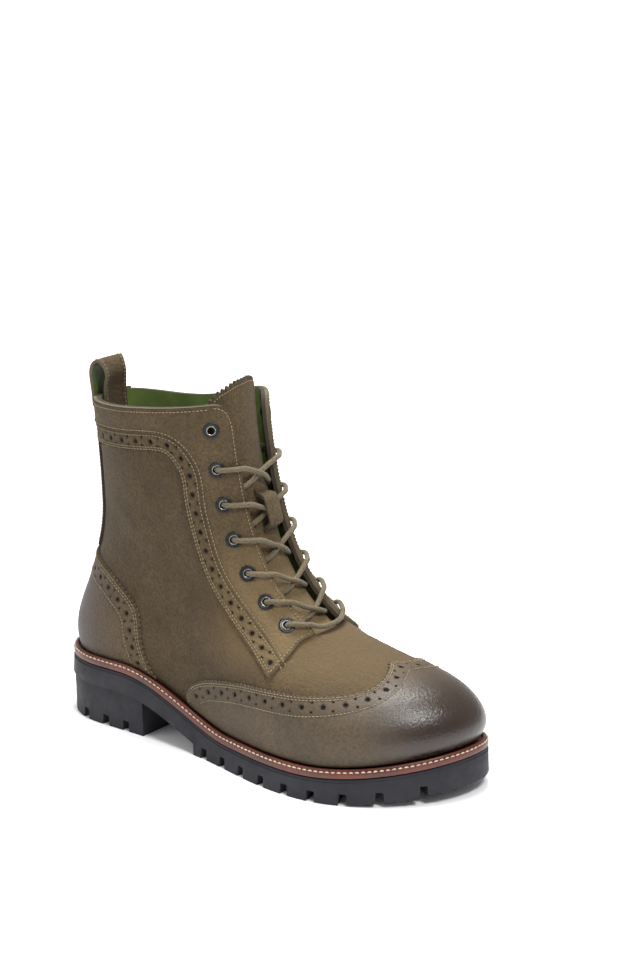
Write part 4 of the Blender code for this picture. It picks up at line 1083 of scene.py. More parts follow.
upper_holes = [(u, v, BODY_EYELET_HOLE) for *_, u, v in eyelet_centres]
# its cut walls carry the dark edge finish, partly painted shade in the throat
upper_body = wrapped(
    "upper_body", upper_outline, -WALL, 0.0, [upper_nubuck, lining_leather, dark_edge_and_shade], upper_holes,
    edge=0.00025, replaces=("upper",), slot="upper", burnish=heel_burnish,
)
print("upper", len(upper_body.data.polygons), "faces")

# %% [markdown]
# ## Wingtip and counter
# The toe piece and the heel piece are laid over the body. Their edges are pinked in small scallops, two
# rows of stitches follow the edge, then the broguing, then one more row. Real holes are cut, because a
# picture of holes would look painted from close by, and near-black discs of painted shade close them
# from behind.

# %% Pattern tables of the two overlays
WING_OUTER = (
    (0.388, 0.00), (0.380, 0.45), (0.387, 0.95), (0.404, 1.45), (0.436, 1.96), (0.487, 2.42),
    (0.549, 2.78), (0.612, 3.04), (0.672, 3.26), (0.727, 3.42), (0.772, 3.57), (0.799, 3.70),
)
WING_INNER = (
    (0.462, 0.00), (0.480, 0.60), (0.515, 1.25), (0.570, 1.95), (0.635, 2.55), (0.700, 3.02),
    (0.755, 3.40), (0.796, 3.70),
)
WING_FRONT = ((0.036, 3.98), (0.025, 4.30), (0.0125, 4.72))
WING_PEAK = 5.20
COUNTER_OUTER = (
    (0.295, 0.00), (0.277, 0.70), (0.260, 2.15), (0.252, 3.70), (0.228, 4.60), (0.169, 5.55),
    (0.110, 5.85),
)
COUNTER_INNER = (
    (0.348, 0.00), (0.362, 0.60), (0.368, 1.60), (0.362, 2.60), (0.330, 3.60), (0.260, 4.55),
    (0.180, 5.40), (0.112, 5.85),
)
COUNTER_TOP = 6.10
BIG_HOLE, SMALL_HOLE, PAIR_SPREAD = 0.00145, 0.00062, 0.0028
SKIRT_V, ROWS_ABOVE, HOLES_ABOVE = 0.10, 0.22, 0.45
print("rows in the wing's tables", len(WING_OUTER), len(WING_INNER))
print("rows in the counter's tables", len(COUNTER_OUTER), len(COUNTER_INNER))


# %% Wingtip and counter
def lifted_edge(path):
    """The edge, kept clear of the welt."""
    path = np.array(path, float)
    path[:, 1] = np.maximum(path[:, 1], SKIRT_V)
    return path


wing_sides = []
for rows, side in ((WING_OUTER, -1), (WING_INNER, 1)):
    front = np.array([(u_by_distance(v, side, distance), v) for distance, v in WING_FRONT])
    wing_sides.append(np.concatenate([table_edge(rows, side), front]))
wing_edge = np.concatenate([wing_sides[0], [[0.0, WING_PEAK]], wing_sides[1][::-1]])
wing_edge = softened(even(lifted_edge(wing_edge)), 5)
counter_edge = np.concatenate([
    table_edge(COUNTER_INNER, 1), [[1.0, COUNTER_TOP]], (table_edge(COUNTER_OUTER, -1) + (2, 0))[::-1],
])
counter_edge = softened(even(lifted_edge(counter_edge)), 30)

rows_of_thread = []
OVER, UNDERSIDE = GAP + OVERLAY, -0.0001


def overlay_with_broguing(name, edge, rows_at, holes_at, pitch, bottom, materials, burnish, **options):
    """A pinked overlay: its edge runs with the inside on the left."""
    stitch_paths = [beside(edge, offset) for offset in rows_at]
    hole_line = beside(edge, holes_at)
    first = (walked(hole_line)[-1] % pitch) / 2
    holes = punched(hole_line, first, pitch, BIG_HOLE, SMALL_HOLE, PAIR_SPREAD)
    holes = [hole for hole in holes if hole[1] > HOLES_ABOVE]
    stitch_paths = [p[p[:, 1] > ROWS_ABOVE] for p in stitch_paths]
    rows_of_thread.extend((p, OVER) for p in stitch_paths)
    outline = np.concatenate([pinked(edge), bottom])
    return wrapped(name, outline, UNDERSIDE, OVER, materials, holes, stitch_paths, burnish=burnish, **options)


wing_bottom_us = np.linspace(wing_edge[0, 0], wing_edge[-1, 0], 140)[1:-1]
wingtip_piece = overlay_with_broguing(
    "wingtip_piece", wing_edge[::-1], (0.0017, 0.0031, 0.0122), 0.0070, 0.0131,
    np.column_stack([wing_bottom_us, np.full(len(wing_bottom_us), SKIRT_V)]),
    [toe_nubuck, cut_edge, cut_edge], toe_burnish, replaces=("wingtip",), slot="wingtip",
)
counter_bottom_us = np.linspace(counter_edge[-1, 0], counter_edge[0, 0], 90)[1:-1]
counter_piece = overlay_with_broguing(
    "counter_piece", counter_edge[::-1], (0.0019, 0.0036, 0.0135), 0.0085, 0.0107,
    np.column_stack([counter_bottom_us[::-1], np.full(len(counter_bottom_us), SKIRT_V)]),
    [counter_nubuck, cut_edge, cut_edge], heel_burnish, replaces=("counter",), slot="counter",
)
print("wingtip", len(wingtip_piece.data.polygons), "counter", len(counter_piece.data.polygons))

# %% [markdown]
# ## Facings, bands and back strip
# Each facing runs up beside the throat and turns back as a band round the collar. Its rear part is the
# broguing strip; the facing proper stands a little higher, so we lift all places in front of the
# strip's seam by half a millimetre, with a sharp step along the seam.

# %% Edges of the strip
STRIP_REAR = (
    (0.629, 3.62), (0.606, 4.12), (0.530, 5.90), (0.459, 7.60), (0.421, 8.90), (0.390, 10.6),
    (0.382, 11.3), (0.379, 11.85), (0.367, 12.15),
)
FACING_FRONT = ((0.637, 4.4), (0.643, 5.1), (0.646, 5.8), (0.646, 6.4))
STRIP_WIDTH, STRIP_STEP = 0.0112, 0.0006
STRIP_ROWS, STRIP_HOLES = (0.0011, 0.0026, 0.0097, 0.0127), 0.0058
STRIP_PITCH, STRIP_SPREAD, EDGE_ROW = 0.0116, 0.0026, 0.0024
STEP_FROM, SEAMS_FROM, HOLES_FROM = 3.90, 3.95, 4.20
print("the strip is", STRIP_WIDTH, "m wide, with a big hole every", STRIP_PITCH, "m")


def band_line(u_from, u_to):
    """Lower edge of the collar band."""
    return np.array([(u, depth_below_collar(u, BAND_DEPTH)) for u in np.linspace(u_from, u_to, 14)])


# %% Both facings
def facing_piece(side_name):
    """One facing with its band, strip, stitches and holes."""
    side = SIDES[side_name]
    if side < 0:
        end = np.array([(u_from_back(v, side, BACK_STRIP_HALF + 2 * GAP), v) for v in (COLLAR, 13.4, 12.8)])
        top = collar_line(throat_line(side)[-1, 0], end[0, 0], 60)[1:]
    else:
        end = zip_edge(-half_slot, (13.6, 13.3, 12.9, 12.4))
        top = collar_line(throat_line(side)[-1, 0], front_edge[-1, 0], 14)[1:]
    band = band_line(end[-1, 0], u_by_x(12.2, side, 0.350 * LENGTH))
    strip = table_edge(STRIP_REAR, side)
    rear = softened(even(np.concatenate([strip, band[::-1]])), 24)
    tip = np.array([(u_by_x(v, side, x * LENGTH), v) for x, v in FACING_FRONT])
    front = np.concatenate([rear[:1], tip, throat_line(side)])
    front = even(np.concatenate([softened(even(front[:12], 0.0010), 14), front[12:]]))
    seam = beside(rear, side * STRIP_WIDTH)
    seam = seam[seam[:, 1] > STEP_FROM]
    ahead = np.concatenate([seam, rear[::-1]])

    def facing_side(uv):
        return 1.0 - inside(uv, [ahead]).astype(float)

    rows = [*(beside(rear, side * offset) for offset in STRIP_ROWS), beside(front[3:], -side * 0.0019)]
    rows = [row[row[:, 1] > SEAMS_FROM] for row in rows]
    collar_row = beside(top, -side * EDGE_ROW)
    hole_line = beside(rear, side * STRIP_HOLES)
    holes = punched(hole_line, 0.0085, STRIP_PITCH, BIG_HOLE, SMALL_HOLE, STRIP_SPREAD)
    holes = [hole for hole in holes if hole[1] > HOLES_FROM]
    holes += [(u, v, FACING_EYELET_HOLE) for name, _, _, u, v in eyelet_centres if name == side_name]
    outline = np.concatenate([front, top, end[1:], rear[::-1][1:]])
    rows_of_thread.extend((row, OVER) for row in rows[:3])
    rows_of_thread.extend((row, OVER + STRIP_STEP) for row in (*rows[3:], collar_row))
    return wrapped(
        f"facing_{side_name}", outline, UNDERSIDE, OVER, [facing_nubuck, cut_edge, cut_edge], holes,
        [*rows, collar_row], step=seam, step_lift=STRIP_STEP, step_side=facing_side,
        replaces=(f"eyestay_{side_name}",), slot=f"eyestay_{side_name}",
    )


facing_lateral = facing_piece("lateral")
facing_medial = facing_piece("medial")
print("facings", len(facing_lateral.data.polygons), len(facing_medial.data.polygons))

# %% Collar band behind the zip
band_top = collar_line(u_from_back(13.8, 1, BACK_STRIP_HALF + 2 * GAP), rear_edge[-1, 0], 30)
band_end = zip_edge(half_slot, (13.3, 12.9, 12.4))
band_low = band_line(band_end[-1, 0], u_from_back(12.4, 1, BACK_STRIP_HALF + 2 * GAP))
band_back = np.array([(u_from_back(v, 1, BACK_STRIP_HALF + 2 * GAP), v) for v in (12.4, 13.0, 13.5)])
band_outline = np.concatenate([band_top, band_end, even(band_low), band_back])
band_seam = beside(band_low, STRIP_WIDTH)
band_ring = np.concatenate([band_seam, band_low[::-1]])
band_rows = [beside(band_low, offset) for offset in STRIP_ROWS]
top_path = even(band_top)
top_row = moved(top_path, left_of(top_path) * EDGE_ROW)
rows_of_thread.extend((row, OVER) for row in band_rows[:3])
rows_of_thread.extend((row, OVER + STRIP_STEP) for row in (band_rows[3], top_row))
band_holes = punched(beside(band_low, STRIP_HOLES), 0.006, STRIP_PITCH, BIG_HOLE, SMALL_HOLE, STRIP_SPREAD)
collar_band = wrapped(
    "collar_band", band_outline, UNDERSIDE, OVER, [facing_nubuck, cut_edge, cut_edge], band_holes,
    [*band_rows, top_row], step=band_seam, step_lift=STRIP_STEP,
    step_side=lambda uv: 1.0 - inside(uv, [band_ring]).astype(float),
    replaces=("collar_medial",), slot="collar_medial",
)
print("collar band", len(collar_band.data.polygons), "faces")

# %% Back strip and all seams
strip_vs = np.linspace(6.3, COLLAR, 60)
strip_right = np.array([(u_from_back(v, 1, BACK_STRIP_HALF), v) for v in strip_vs])
strip_left = np.array([(u_from_back(v, -1, BACK_STRIP_HALF) + 2, v) for v in strip_vs])
strip_foot = np.linspace(strip_right[0], strip_left[0], 12)[1:-1]
strip_foot[:, 1] -= 0.12 * np.sin(np.pi * np.linspace(0, 1, 12)[1:-1])
strip_top = np.linspace(strip_left[-1], strip_right[-1], 16)[1:-1]
strip_outline = np.concatenate([strip_foot, strip_left, strip_top, strip_right[::-1]])
strip_rows = [
    np.array([(u_from_back(v, side, BACK_STRIP_HALF - 0.0017) + turn, v) for v in strip_vs])
    for side, turn in ((1, 0), (-1, 2))
]
back_seam = np.column_stack([np.ones(60), strip_vs])
rows_of_thread.extend((row[2:-2], OVER + 0.0003) for row in strip_rows)
back_piece = wrapped(
    "back_piece", strip_outline, UNDERSIDE, OVER + 0.0003, [upper_nubuck, cut_edge, dark_edge_and_shade], (),
    [*strip_rows, back_seam], replaces=("back_strip",), slot="back_strip",
)
zip_rows = [zip_edge(offset, np.linspace(0.6, 11.4, 40)) for offset in (-0.0075, 0.0075)]
rows_of_thread.extend((row, 0.0) for row in zip_rows)
thread_rows("seam_stitches", rows_of_thread)
print("back strip", len(back_piece.data.polygons), "faces")

# %% [markdown]
# ## Behind the holes
# Behind each hole of the broguing sits a small near-black disc, just under the overlay: painted shade
# that makes the holes read dark, where a whole second layer of leather would only cost faces.

# %% Painted shade behind the broguing
SHADE_DISC_CORNERS, SHADE_DISC_TOP = 12, 0.00025
shade_disc_points, shade_disc_faces = [], []
# each disc is painted shade that makes its hole read dark
for u, v, radius in all_holes:
    ring_uv = circle(u, v, radius + 0.0003, SHADE_DISC_CORNERS)
    first = len(shade_disc_points)
    shade_disc_points += [*place(ring_uv, SHADE_DISC_TOP), *place(ring_uv, -0.00005)]
    top = [first + k for k in range(SHADE_DISC_CORNERS)]
    shade_disc_faces += [tuple(top), tuple(k + SHADE_DISC_CORNERS for k in reversed(top))]
    for a, b in zip(top, [*top[1:], top[0]]):
        shade_disc_faces.append((a, a + SHADE_DISC_CORNERS, b + SHADE_DISC_CORNERS, b))
mesh_piece("hole_shade_discs", shade_disc_points, shade_disc_faces, [hole_shadow], sharp=30)
print("backing behind", len(all_holes), "holes")

# %% [markdown]
# ## Tongue and lace keeper
# The tongue is one thick piece behind the throat with a pinked top. It is cut like the other leather, at
# its own depth, and its back is lined in green. The keeper is a short strap that the lace runs through.

# %% Tongue
TONGUE_THICKNESS, TONGUE_LIFT = 0.0024, -0.0062
TONGUE_WIDTHS = {
    -1: ((6.4, 0.020), (7.2, 0.027), (9.0, 0.032), (12.0, 0.034), (13.9, 0.034), (14.3, 0.024)),
    1: ((6.4, 0.020), (7.2, 0.027), (9.0, 0.032), (12.0, 0.034), (14.0, 0.032), (14.45, 0.022)),
}
tongue_sides = {
    side: np.array([(u_by_distance(v, side, half), v) for v, half in rows])
    for side, rows in TONGUE_WIDTHS.items()
}
tongue_left = even(tongue_sides[-1])
tongue_right = even(tongue_sides[1])
shoulder = int(0.93 * len(tongue_right))
tongue_top = np.concatenate([
    tongue_right[shoulder:],
    [(u_by_distance(14.6, 1, 0.010), 14.6), (u_by_distance(14.55, -1, 0.008), 14.55)],
    tongue_left[::-1][:len(tongue_left) - shoulder],
])
tongue_top = softened(even(tongue_top, 0.0010), 6)
tongue_foot = np.linspace(tongue_left[0], tongue_right[0], 24)[1:-1]
tongue_outline = np.concatenate([
    tongue_foot, tongue_right[:shoulder], pinked(tongue_top, 0.0040, 0.0020), tongue_left[:shoulder][::-1],
])
tongue_row = beside(tongue_top, 0.0032)
tongue_piece = wrapped(
    "tongue_piece", tongue_outline, TONGUE_LIFT - TONGUE_THICKNESS, TONGUE_LIFT,
    [facing_nubuck, lining_leather, dark_edge_and_shade], (), [tongue_row], edge=0.0005,
    replaces=("tongue",), slot="tongue",
)
thread_rows("tongue_stitches", [(tongue_row, TONGUE_LIFT)])


# %% [markdown]
# ## Straps
# The keeper and the pull loop are straps that leave the leather in a bow. Cut leather can't do that, so a
# strap is a closed profile, seen from its side, that is swept across its width.


# %% Swept straps
def swept_strap(name, profile, widths, materials, u_of, **options):
    """A closed (v, lift) profile swept across the skin."""
    profile = np.asarray(profile, float)
    n = len(profile)
    points = []
    for d in widths:
        uv = np.column_stack([[u_of(v, d) for v in profile[:, 0]], profile[:, 0]])
        points.append(place(uv, profile[:, 1]))
    faces = []
    for c in range(len(widths) - 1):
        for k in range(n):
            a, b = c * n + k, c * n + (k + 1) % n
            faces.append((a, a + n, b + n, b))
    first, last = 0, (len(widths) - 1) * n
    half = n // 2
    for k in range(half - 1):
        near, far = n - 1 - k, n - 2 - k
        faces.append((first + k, first + k + 1, first + far, first + near))
        faces.append((last + near, last + far, last + k + 1, last + k))
    slots = []
    for c in range(len(widths) - 1):
        slots.extend(0 if k < half else 1 for k in range(n))
    slots.extend([2] * (len(faces) - len(slots)))
    plain = {key: np.zeros(n * len(widths)) for key in ("burnish", "rim")}
    return faced_out(mesh_piece(name, np.concatenate(points), faces, materials, slots, sharp=50,
                                stored=plain, **options))


def strap_profile(line, half, pitch, count):
    """Outer then inner edge of a strap that follows a (v, lift) line, sampled smoothly."""
    line = np.asarray(line, float)
    at = np.linspace(0, len(line) - 1, count)
    v = curve_at(range(len(line)), line[:, 0], at) * pitch
    lift = curve_at(range(len(line)), line[:, 1], at)
    flat = np.column_stack([v, lift])
    ways = np.gradient(flat, axis=0)
    ways /= np.linalg.norm(ways, axis=1, keepdims=True)
    out = np.column_stack([-ways[:, 1], ways[:, 0]]) * half
    edges = [flat + out, (flat - out)[::-1]]
    whole = np.concatenate(edges)
    whole[:, 0] /= pitch
    return whole


print("a flat strap's edge has", len(strap_profile([(0, 0), (1, 0)], 0.1, 1.0, 8)), "points")

# %% Lace keeper
keeper_v = 0.25 * EYELET_ROWS[3] + 0.75 * EYELET_ROWS[4]
foot = TONGUE_LIFT + 0.0006 + 0.0007
keeper_line = [
    (keeper_v - 0.62, foot), (keeper_v - 0.50, foot), (keeper_v - 0.42, 0.0002), (keeper_v - 0.32, 0.0021),
    (keeper_v, 0.0025), (keeper_v + 0.32, 0.0021), (keeper_v + 0.42, 0.0002), (keeper_v + 0.50, foot),
    (keeper_v + 0.62, foot),
]
keeper_piece = swept_strap(
    "keeper_piece", strap_profile(keeper_line, 0.0007, 0.0125, 40), np.linspace(-0.0055, 0.0055, 7),
    [facing_nubuck, cut_edge, cut_edge], lambda v, d: u_by_distance(v, 1, 1.0) * d,
    replaces=("lace_keeper",), slot="lace_keeper",
)
print("tongue", len(tongue_piece.data.polygons), "keeper", len(keeper_piece.data.polygons))

# %% [markdown]
# ## Eyelets and lace
# Round metal parts are turned: a profile of (radius, height) goes round an axis. The lace is one cord of
# braid from its hidden end, down through the eyelets, over the bottom bar and up to its other end.


# %% Turned pieces
def turned(name, profile, centre, axis, materials, split=None, sides=48, **options):
    """A closed round piece from its (radius, height) profile."""
    axis = Vector(axis).normalized()
    e1 = axis.orthogonal().normalized()
    e2 = axis.cross(e1)
    centre = Vector(centre)
    n = len(profile)
    points, faces, slots = [], [], []
    for k in range(sides):
        angle = 2 * math.pi * k / sides
        way = math.cos(angle) * e1 + math.sin(angle) * e2
        points.extend(centre + radius * way + height * axis for radius, height in profile)
    for k in range(sides):
        for j in range(n):
            a, b = k * n + j, k * n + (j + 1) % n
            faces.append((a, (a + n) % (n * sides), (b + n) % (n * sides), b))
            slots.append(split[j] if split else 0)
    return faced_out(mesh_piece(name, points, faces, materials, slots, sharp=50, **options), weld=True)


def arc_profile(centre, radius, start, end, count):
    """Points of an arc in the (radius, height) plane, angles in degrees."""
    angles = np.radians(np.linspace(start, end, count))
    return [(centre[0] + radius * math.cos(a), centre[1] + radius * math.sin(a)) for a in angles]


print("half a circle has", len(arc_profile((0.0, 0.0), 1.0, 0, 180, 7)), "points here")

# %% Eyelets
FLANGE, HOLE_RADIUS, BARREL_DEPTH = 0.0051, 0.0022, 0.0048
for name, side, k, u, v in eyelet_centres:
    lift = OVER + STRIP_STEP - 0.0001
    rim = place(circle(u, v, FLANGE * 0.9, 12), lift)
    centre = place([(u, v)], lift)[0]
    spread = rim - rim.mean(axis=0)
    normal = np.linalg.svd(spread)[2][2]
    normal *= np.sign(normal @ normals_at(np.array([[u, v]]))[0])
    seat = centre + normal * max(((rim - centre) @ normal).mean(), -0.0002)
    profile = [
        (HOLE_RADIUS, -BARREL_DEPTH), (HOLE_RADIUS, 0.0002),
        *arc_profile((HOLE_RADIUS + 0.00048, 0.0003), 0.00048, 180, 30, 7),
        (HOLE_RADIUS + 0.0011, 0.00050), (HOLE_RADIUS + 0.0014, 0.00060),
        *arc_profile((FLANGE - 0.0007, 0.0000), 0.0007, 75, -10, 6),
        (FLANGE - 0.0004, -0.0004), (HOLE_RADIUS + 0.0007, -0.0004), (HOLE_RADIUS + 0.0007, -BARREL_DEPTH),
    ]
    split = [1 if j in (4, 5) else 0 for j in range(len(profile))]
    turned(
        f"ring_{name}_{k + 1}", profile, seat, normal, [enamel, silver], split, sides=36,
        replaces=(f"eyelet_{name}_{k + 1}",), slot="eyelet",
    )
print("eyelets", len(eyelet_centres))

# %% Lace path
CORD = 0.0016


def lace_place(side, distance, v, lift):
    """A point at a distance from the front centre, lifted off the last."""
    return place([(u_by_distance(v, side, distance), v)], lift)[0]


def over_facing(side, v):
    """From the middle of the throat over the facing's edge and down into an eyelet."""
    table = (
        (0.0135, -0.02, 0.0028), (0.0165, 0.0, 0.0043), (0.0205, 0.0, 0.0045), (0.0245, 0.0, 0.0049),
        (0.0276, 0.0, 0.0046), (0.0296, 0.0, 0.0028), (0.0304, 0.0, 0.0004), (0.0302, 0.0, -0.0026),
    )
    return [lace_place(side, d, v + up, lift) for d, up, lift in table]


def under_facing(side, v, step):
    """From inside an eyelet along the facing's underside, out into the throat."""
    table = (
        (0.0285, 0.10, -0.0043), (0.0240, 0.22, -0.0046), (0.0195, 0.33, -0.0046), (0.0158, 0.42, -0.0045),
        (0.0118, 0.50, -0.0041),
    )
    return [lace_place(side, d, v + up * step, lift) for d, up, lift in table]


def half_lace(side):
    """From the bottom bar's middle up to the last laced eyelet."""
    v = EYELET_ROWS[0]
    points = [lace_place(side, 0.006, v, 0.0014), *over_facing(side, v)]
    for k, (low_v, high_v) in enumerate(zip(EYELET_ROWS, EYELET_ROWS[1:-1])):
        step = high_v - low_v
        here = side if k % 2 == 0 else -side
        points += under_facing(here, low_v, step)
        arrives = -here
        dip = -0.0014 if arrives < 0 else -0.0037
        points.append(lace_place(here, 0.0060, low_v + 0.62 * step, -0.0041 if arrives > 0 else -0.0026))
        points.append(lace_place(arrives, 0.0, low_v + 0.75 * step, dip))
        points.append(lace_place(arrives, 0.0070, low_v + 0.87 * step, 0.5 * (dip + 0.0006)))
        points += over_facing(arrives, high_v)
    last = side if (len(EYELET_ROWS) - 2) % 2 == 0 else -side
    points += [lace_place(last, 0.0285, EYELET_ROWS[-2] + 0.10, -0.0043),
               lace_place(last, 0.0245, EYELET_ROWS[-2] + 0.30, -0.0046)]
    return points


def smooth_line(points, spacing):
    """An even Catmull-Rom line through the points."""
    points = np.array([tuple(p) for p in points])
    ends = np.concatenate([[2 * points[0] - points[1]], points, [2 * points[-1] - points[-2]]])
    fine = []
    for k in range(1, len(ends) - 2):
        a, b, c, d = ends[k - 1:k + 3]
        for t in np.linspace(0, 1, 12, endpoint=False):
            fine.append(0.5 * (2 * b + (c - a) * t + (2 * a - 5 * b + 4 * c - d) * t ** 2
                               + (3 * b - a - 3 * c + d) * t ** 3))
    fine = np.array([*fine, points[-1]])
    gone = arc_lengths(fine)
    return read_at(fine, gone, np.linspace(0, gone[-1], int(gone[-1] / spacing) + 1))


lace_points = [*reversed(half_lace(-1)), *half_lace(1)]
print("the lace's route has", len(lace_points), "points")


# %% Braided cord
def braided(name, points, radius, material, around=16, spacing=0.00045, strands=4, lay=0.0042, **options):
    """A round braid along a line, with its strands raised in the mesh."""
    line = smooth_line(points, spacing)
    ways = np.gradient(line, axis=0)
    ways /= np.linalg.norm(ways, axis=1, keepdims=True)
    normal = Vector(ways[0]).orthogonal().normalized()
    rings, uvs = [], []
    gone = arc_lengths(line)
    for p, t, s in zip(line, ways, gone):
        t = Vector(t)
        normal = (normal - t * normal.dot(t)).normalized()
        across = t.cross(normal)
        end = min(s, gone[-1] - s)
        taper = math.sqrt(max(1 - (1 - min(end / radius, 1)) ** 2, 0.02))
        for k in range(around):
            angle = 2 * math.pi * k / around
            turn = 2 * math.pi * s / lay
            strand = max(math.cos(strands * angle + turn), math.cos(strands * angle - turn))
            r = radius * (0.965 + 0.04 * strand) * taper
            rings.append(Vector(p) + r * (math.cos(angle) * normal + math.sin(angle) * across))
        uvs.append(s / lay)
    faces, corner_uvs = [], []
    for i in range(len(line) - 1):
        for k in range(around):
            a, b = i * around + k, i * around + (k + 1) % around
            faces.append((a, b, b + around, a + around))
            x0, x1 = strands * k / around, strands * (k + 1) / around
            corner_uvs.extend([(x0, uvs[i]), (x1, uvs[i]), (x1, uvs[i + 1]), (x0, uvs[i + 1])])
    last = (len(line) - 1) * around
    faces.append(tuple(reversed(range(around))))
    faces.append(tuple(range(last, last + around)))
    corner_uvs.extend([(0.5, uvs[0])] * around + [(0.5, uvs[-1])] * around)
    made = mesh_piece(name, rings, faces, [material], sharp=80, **options)
    layer = made.data.uv_layers.new(name="braid")
    layer.data.foreach_set("uv", np.array(corner_uvs, np.float32).ravel())
    print(name, "is", round(gone[-1], 3), "m long")
    return made


braided("lace_piece", lace_points, CORD, cord_braid, replaces=("laces",), slot="laces")

# %% [markdown]
# ## Pull loop and stud
# The loop is one strap, brown outside and green inside, sewn to the back of the collar, and stands up
# as a soft arch. It is swept across its width, a little crowned, with a row of stitches by each edge.

# %% Pull loop
LOOP_LINE = (
    (13.5, 0.0036), (14.2, 0.0036), (14.95, 0.0040), (15.4, 0.0033), (15.68, 0.0010), (15.70, -0.0022),
    (15.4, -0.0050), (14.95, -0.0062), (14.2, -0.0043), (12.9, -0.0040),
)
LOOP_WIDTH, LOOP_PITCH = 0.024, 0.0121


def loop_u(v, across):
    """u at a distance across the loop from the back seam; above the collar the loop stays as wide."""
    return 1 + across / half_length(min(v, COLLAR), 1)


loop_widths = np.linspace(-LOOP_WIDTH / 2, LOOP_WIDTH / 2, 17)
pull_loop_piece = swept_strap(
    "pull_loop_piece", strap_profile(LOOP_LINE, 0.0009, LOOP_PITCH, 64), loop_widths,
    [upper_nubuck, lining_leather, cut_edge], loop_u, replaces=("pull_loop",), slot="pull_loop",
)
loop_at = np.linspace(0, len(LOOP_LINE) - 1, 90)
loop_v = curve_at(range(len(LOOP_LINE)), [p[0] for p in LOOP_LINE], loop_at)
loop_lift = curve_at(range(len(LOOP_LINE)), [p[1] for p in LOOP_LINE], loop_at)


def loose_threads(name, lines, outs, material, pitch=0.0024, radius=0.0003, **options):
    """Stitches along free lines in space, raised towards the given outward ways."""
    points = []
    arch = np.array([-0.0002, 0.00016, 0.00024, 0.00016, -0.0002])
    for line, out in zip(lines, outs):
        gone = arc_lengths(line)
        starts = np.arange(0.3 * pitch, gone[-1] - pitch, pitch)
        at = starts[:, None] + pitch * STITCH_SHARE * np.linspace(0, 1, STITCH_RINGS)[None, :]
        spines, ups = read_at(line, gone, at), read_at(out, gone, at)
        points.append(thread_points(spines + ups * arch[None, :, None], ups, radius))
    return thread_mesh(name, points, material, **options)


loop_lines, loop_outs = [], []
middle_line = place(np.column_stack([[loop_u(v, 0.0) for v in loop_v], loop_v]), loop_lift)
loop_ways = np.gradient(middle_line, axis=0)
side_way = np.cross(loop_ways, [0.0, 1.0, 0.0])
side_way /= np.linalg.norm(side_way, axis=1, keepdims=True)
if side_way[5] @ np.array([-1.0, 0.0, 0.0]) < 0:
    side_way = -side_way
for d in (-0.0100, 0.0100):
    line = place(np.column_stack([[loop_u(v, d) for v in loop_v], loop_v]), loop_lift)
    loop_lines.append(line + side_way * 0.0009)
    loop_outs.append(side_way)
loose_threads("loop_stitches", loop_lines, loop_outs, thread)

# %% [markdown]
# ## Stud
# A plain cap rivet holds the back strip. It is a turned piece like the eyelets, with a raised middle.

# %% Stud on the back strip
stud_uv = np.array([[u_from_back(12.55, -1, 0.0080), 12.55]])
stud_profile = [
    (0.0, 0.0), (0.0036, 0.0), (0.0038, 0.0003), (0.0037, 0.0008), (0.0033, 0.0011), (0.0028, 0.0010),
    (0.0025, 0.0008), *arc_profile((0.0, -0.0016), 0.0032, 52, 90, 7),
]
stud_piece = turned(
    "stud_piece", stud_profile, place(stud_uv, OVER + 0.0002)[0], normals_at(stud_uv)[0], [stud_metal],
    replaces=("rivet",), slot="rivet",
)
print("pull loop", len(pull_loop_piece.data.polygons), "stud", len(stud_piece.data.polygons))

# %% [markdown]
# ## Zip
# A coil zip has two rows of small bent teeth on a woven tape. They are all one mesh, each tooth a little
# bar with rounded ends, because over two hundred separate objects would make the scene slow to read.

# %% Tape and teeth
TAPE_TOP = -(WALL + 2 * GAP)
TEETH_LIFT = TAPE_TOP + 0.0006
zip_vs = np.linspace(0.9, 13.7, 140)


def zip_ribbon(name, offsets, low, high, vs, material, **options):
    """A thin strip along the zip's line."""
    flat = [np.column_stack([[zip_u(v, d) for v in vs], vs]) for d in offsets]
    n, m = len(offsets), len(vs)
    top = np.concatenate([place(p, high) for p in flat])
    bottom = np.concatenate([place(p, low) for p in flat])
    count = n * m
    faces = []
    for c in range(n - 1):
        for k in range(m - 1):
            a, b = c * m + k, (c + 1) * m + k
            faces.append((a, a + 1, b + 1, b))
            faces.append((a + count, b + count, b + 1 + count, a + 1 + count))
    for k in range(m - 1):
        last = (n - 1) * m + k
        faces.append((k, k + count, k + 1 + count, k + 1))
        faces.append((last, last + 1, last + 1 + count, last + count))
    for c in range(n - 1):
        a, b = c * m, (c + 1) * m
        faces.append((a, b, b + count, a + count))
        faces.append((a + m - 1, a + m - 1 + count, b + m - 1 + count, b + m - 1))
    return faced_out(mesh_piece(name, np.concatenate([top, bottom]), faces, [material], **options))


tape_half = ZIP_SLOT / 2 + 0.0045
tape_piece = zip_ribbon(
    "tape_piece", np.linspace(-tape_half, tape_half, 13), TAPE_TOP - 0.0010, TAPE_TOP, zip_vs, zip_weave,
    replaces=("zip_tape",), slot="zip_tape",
)


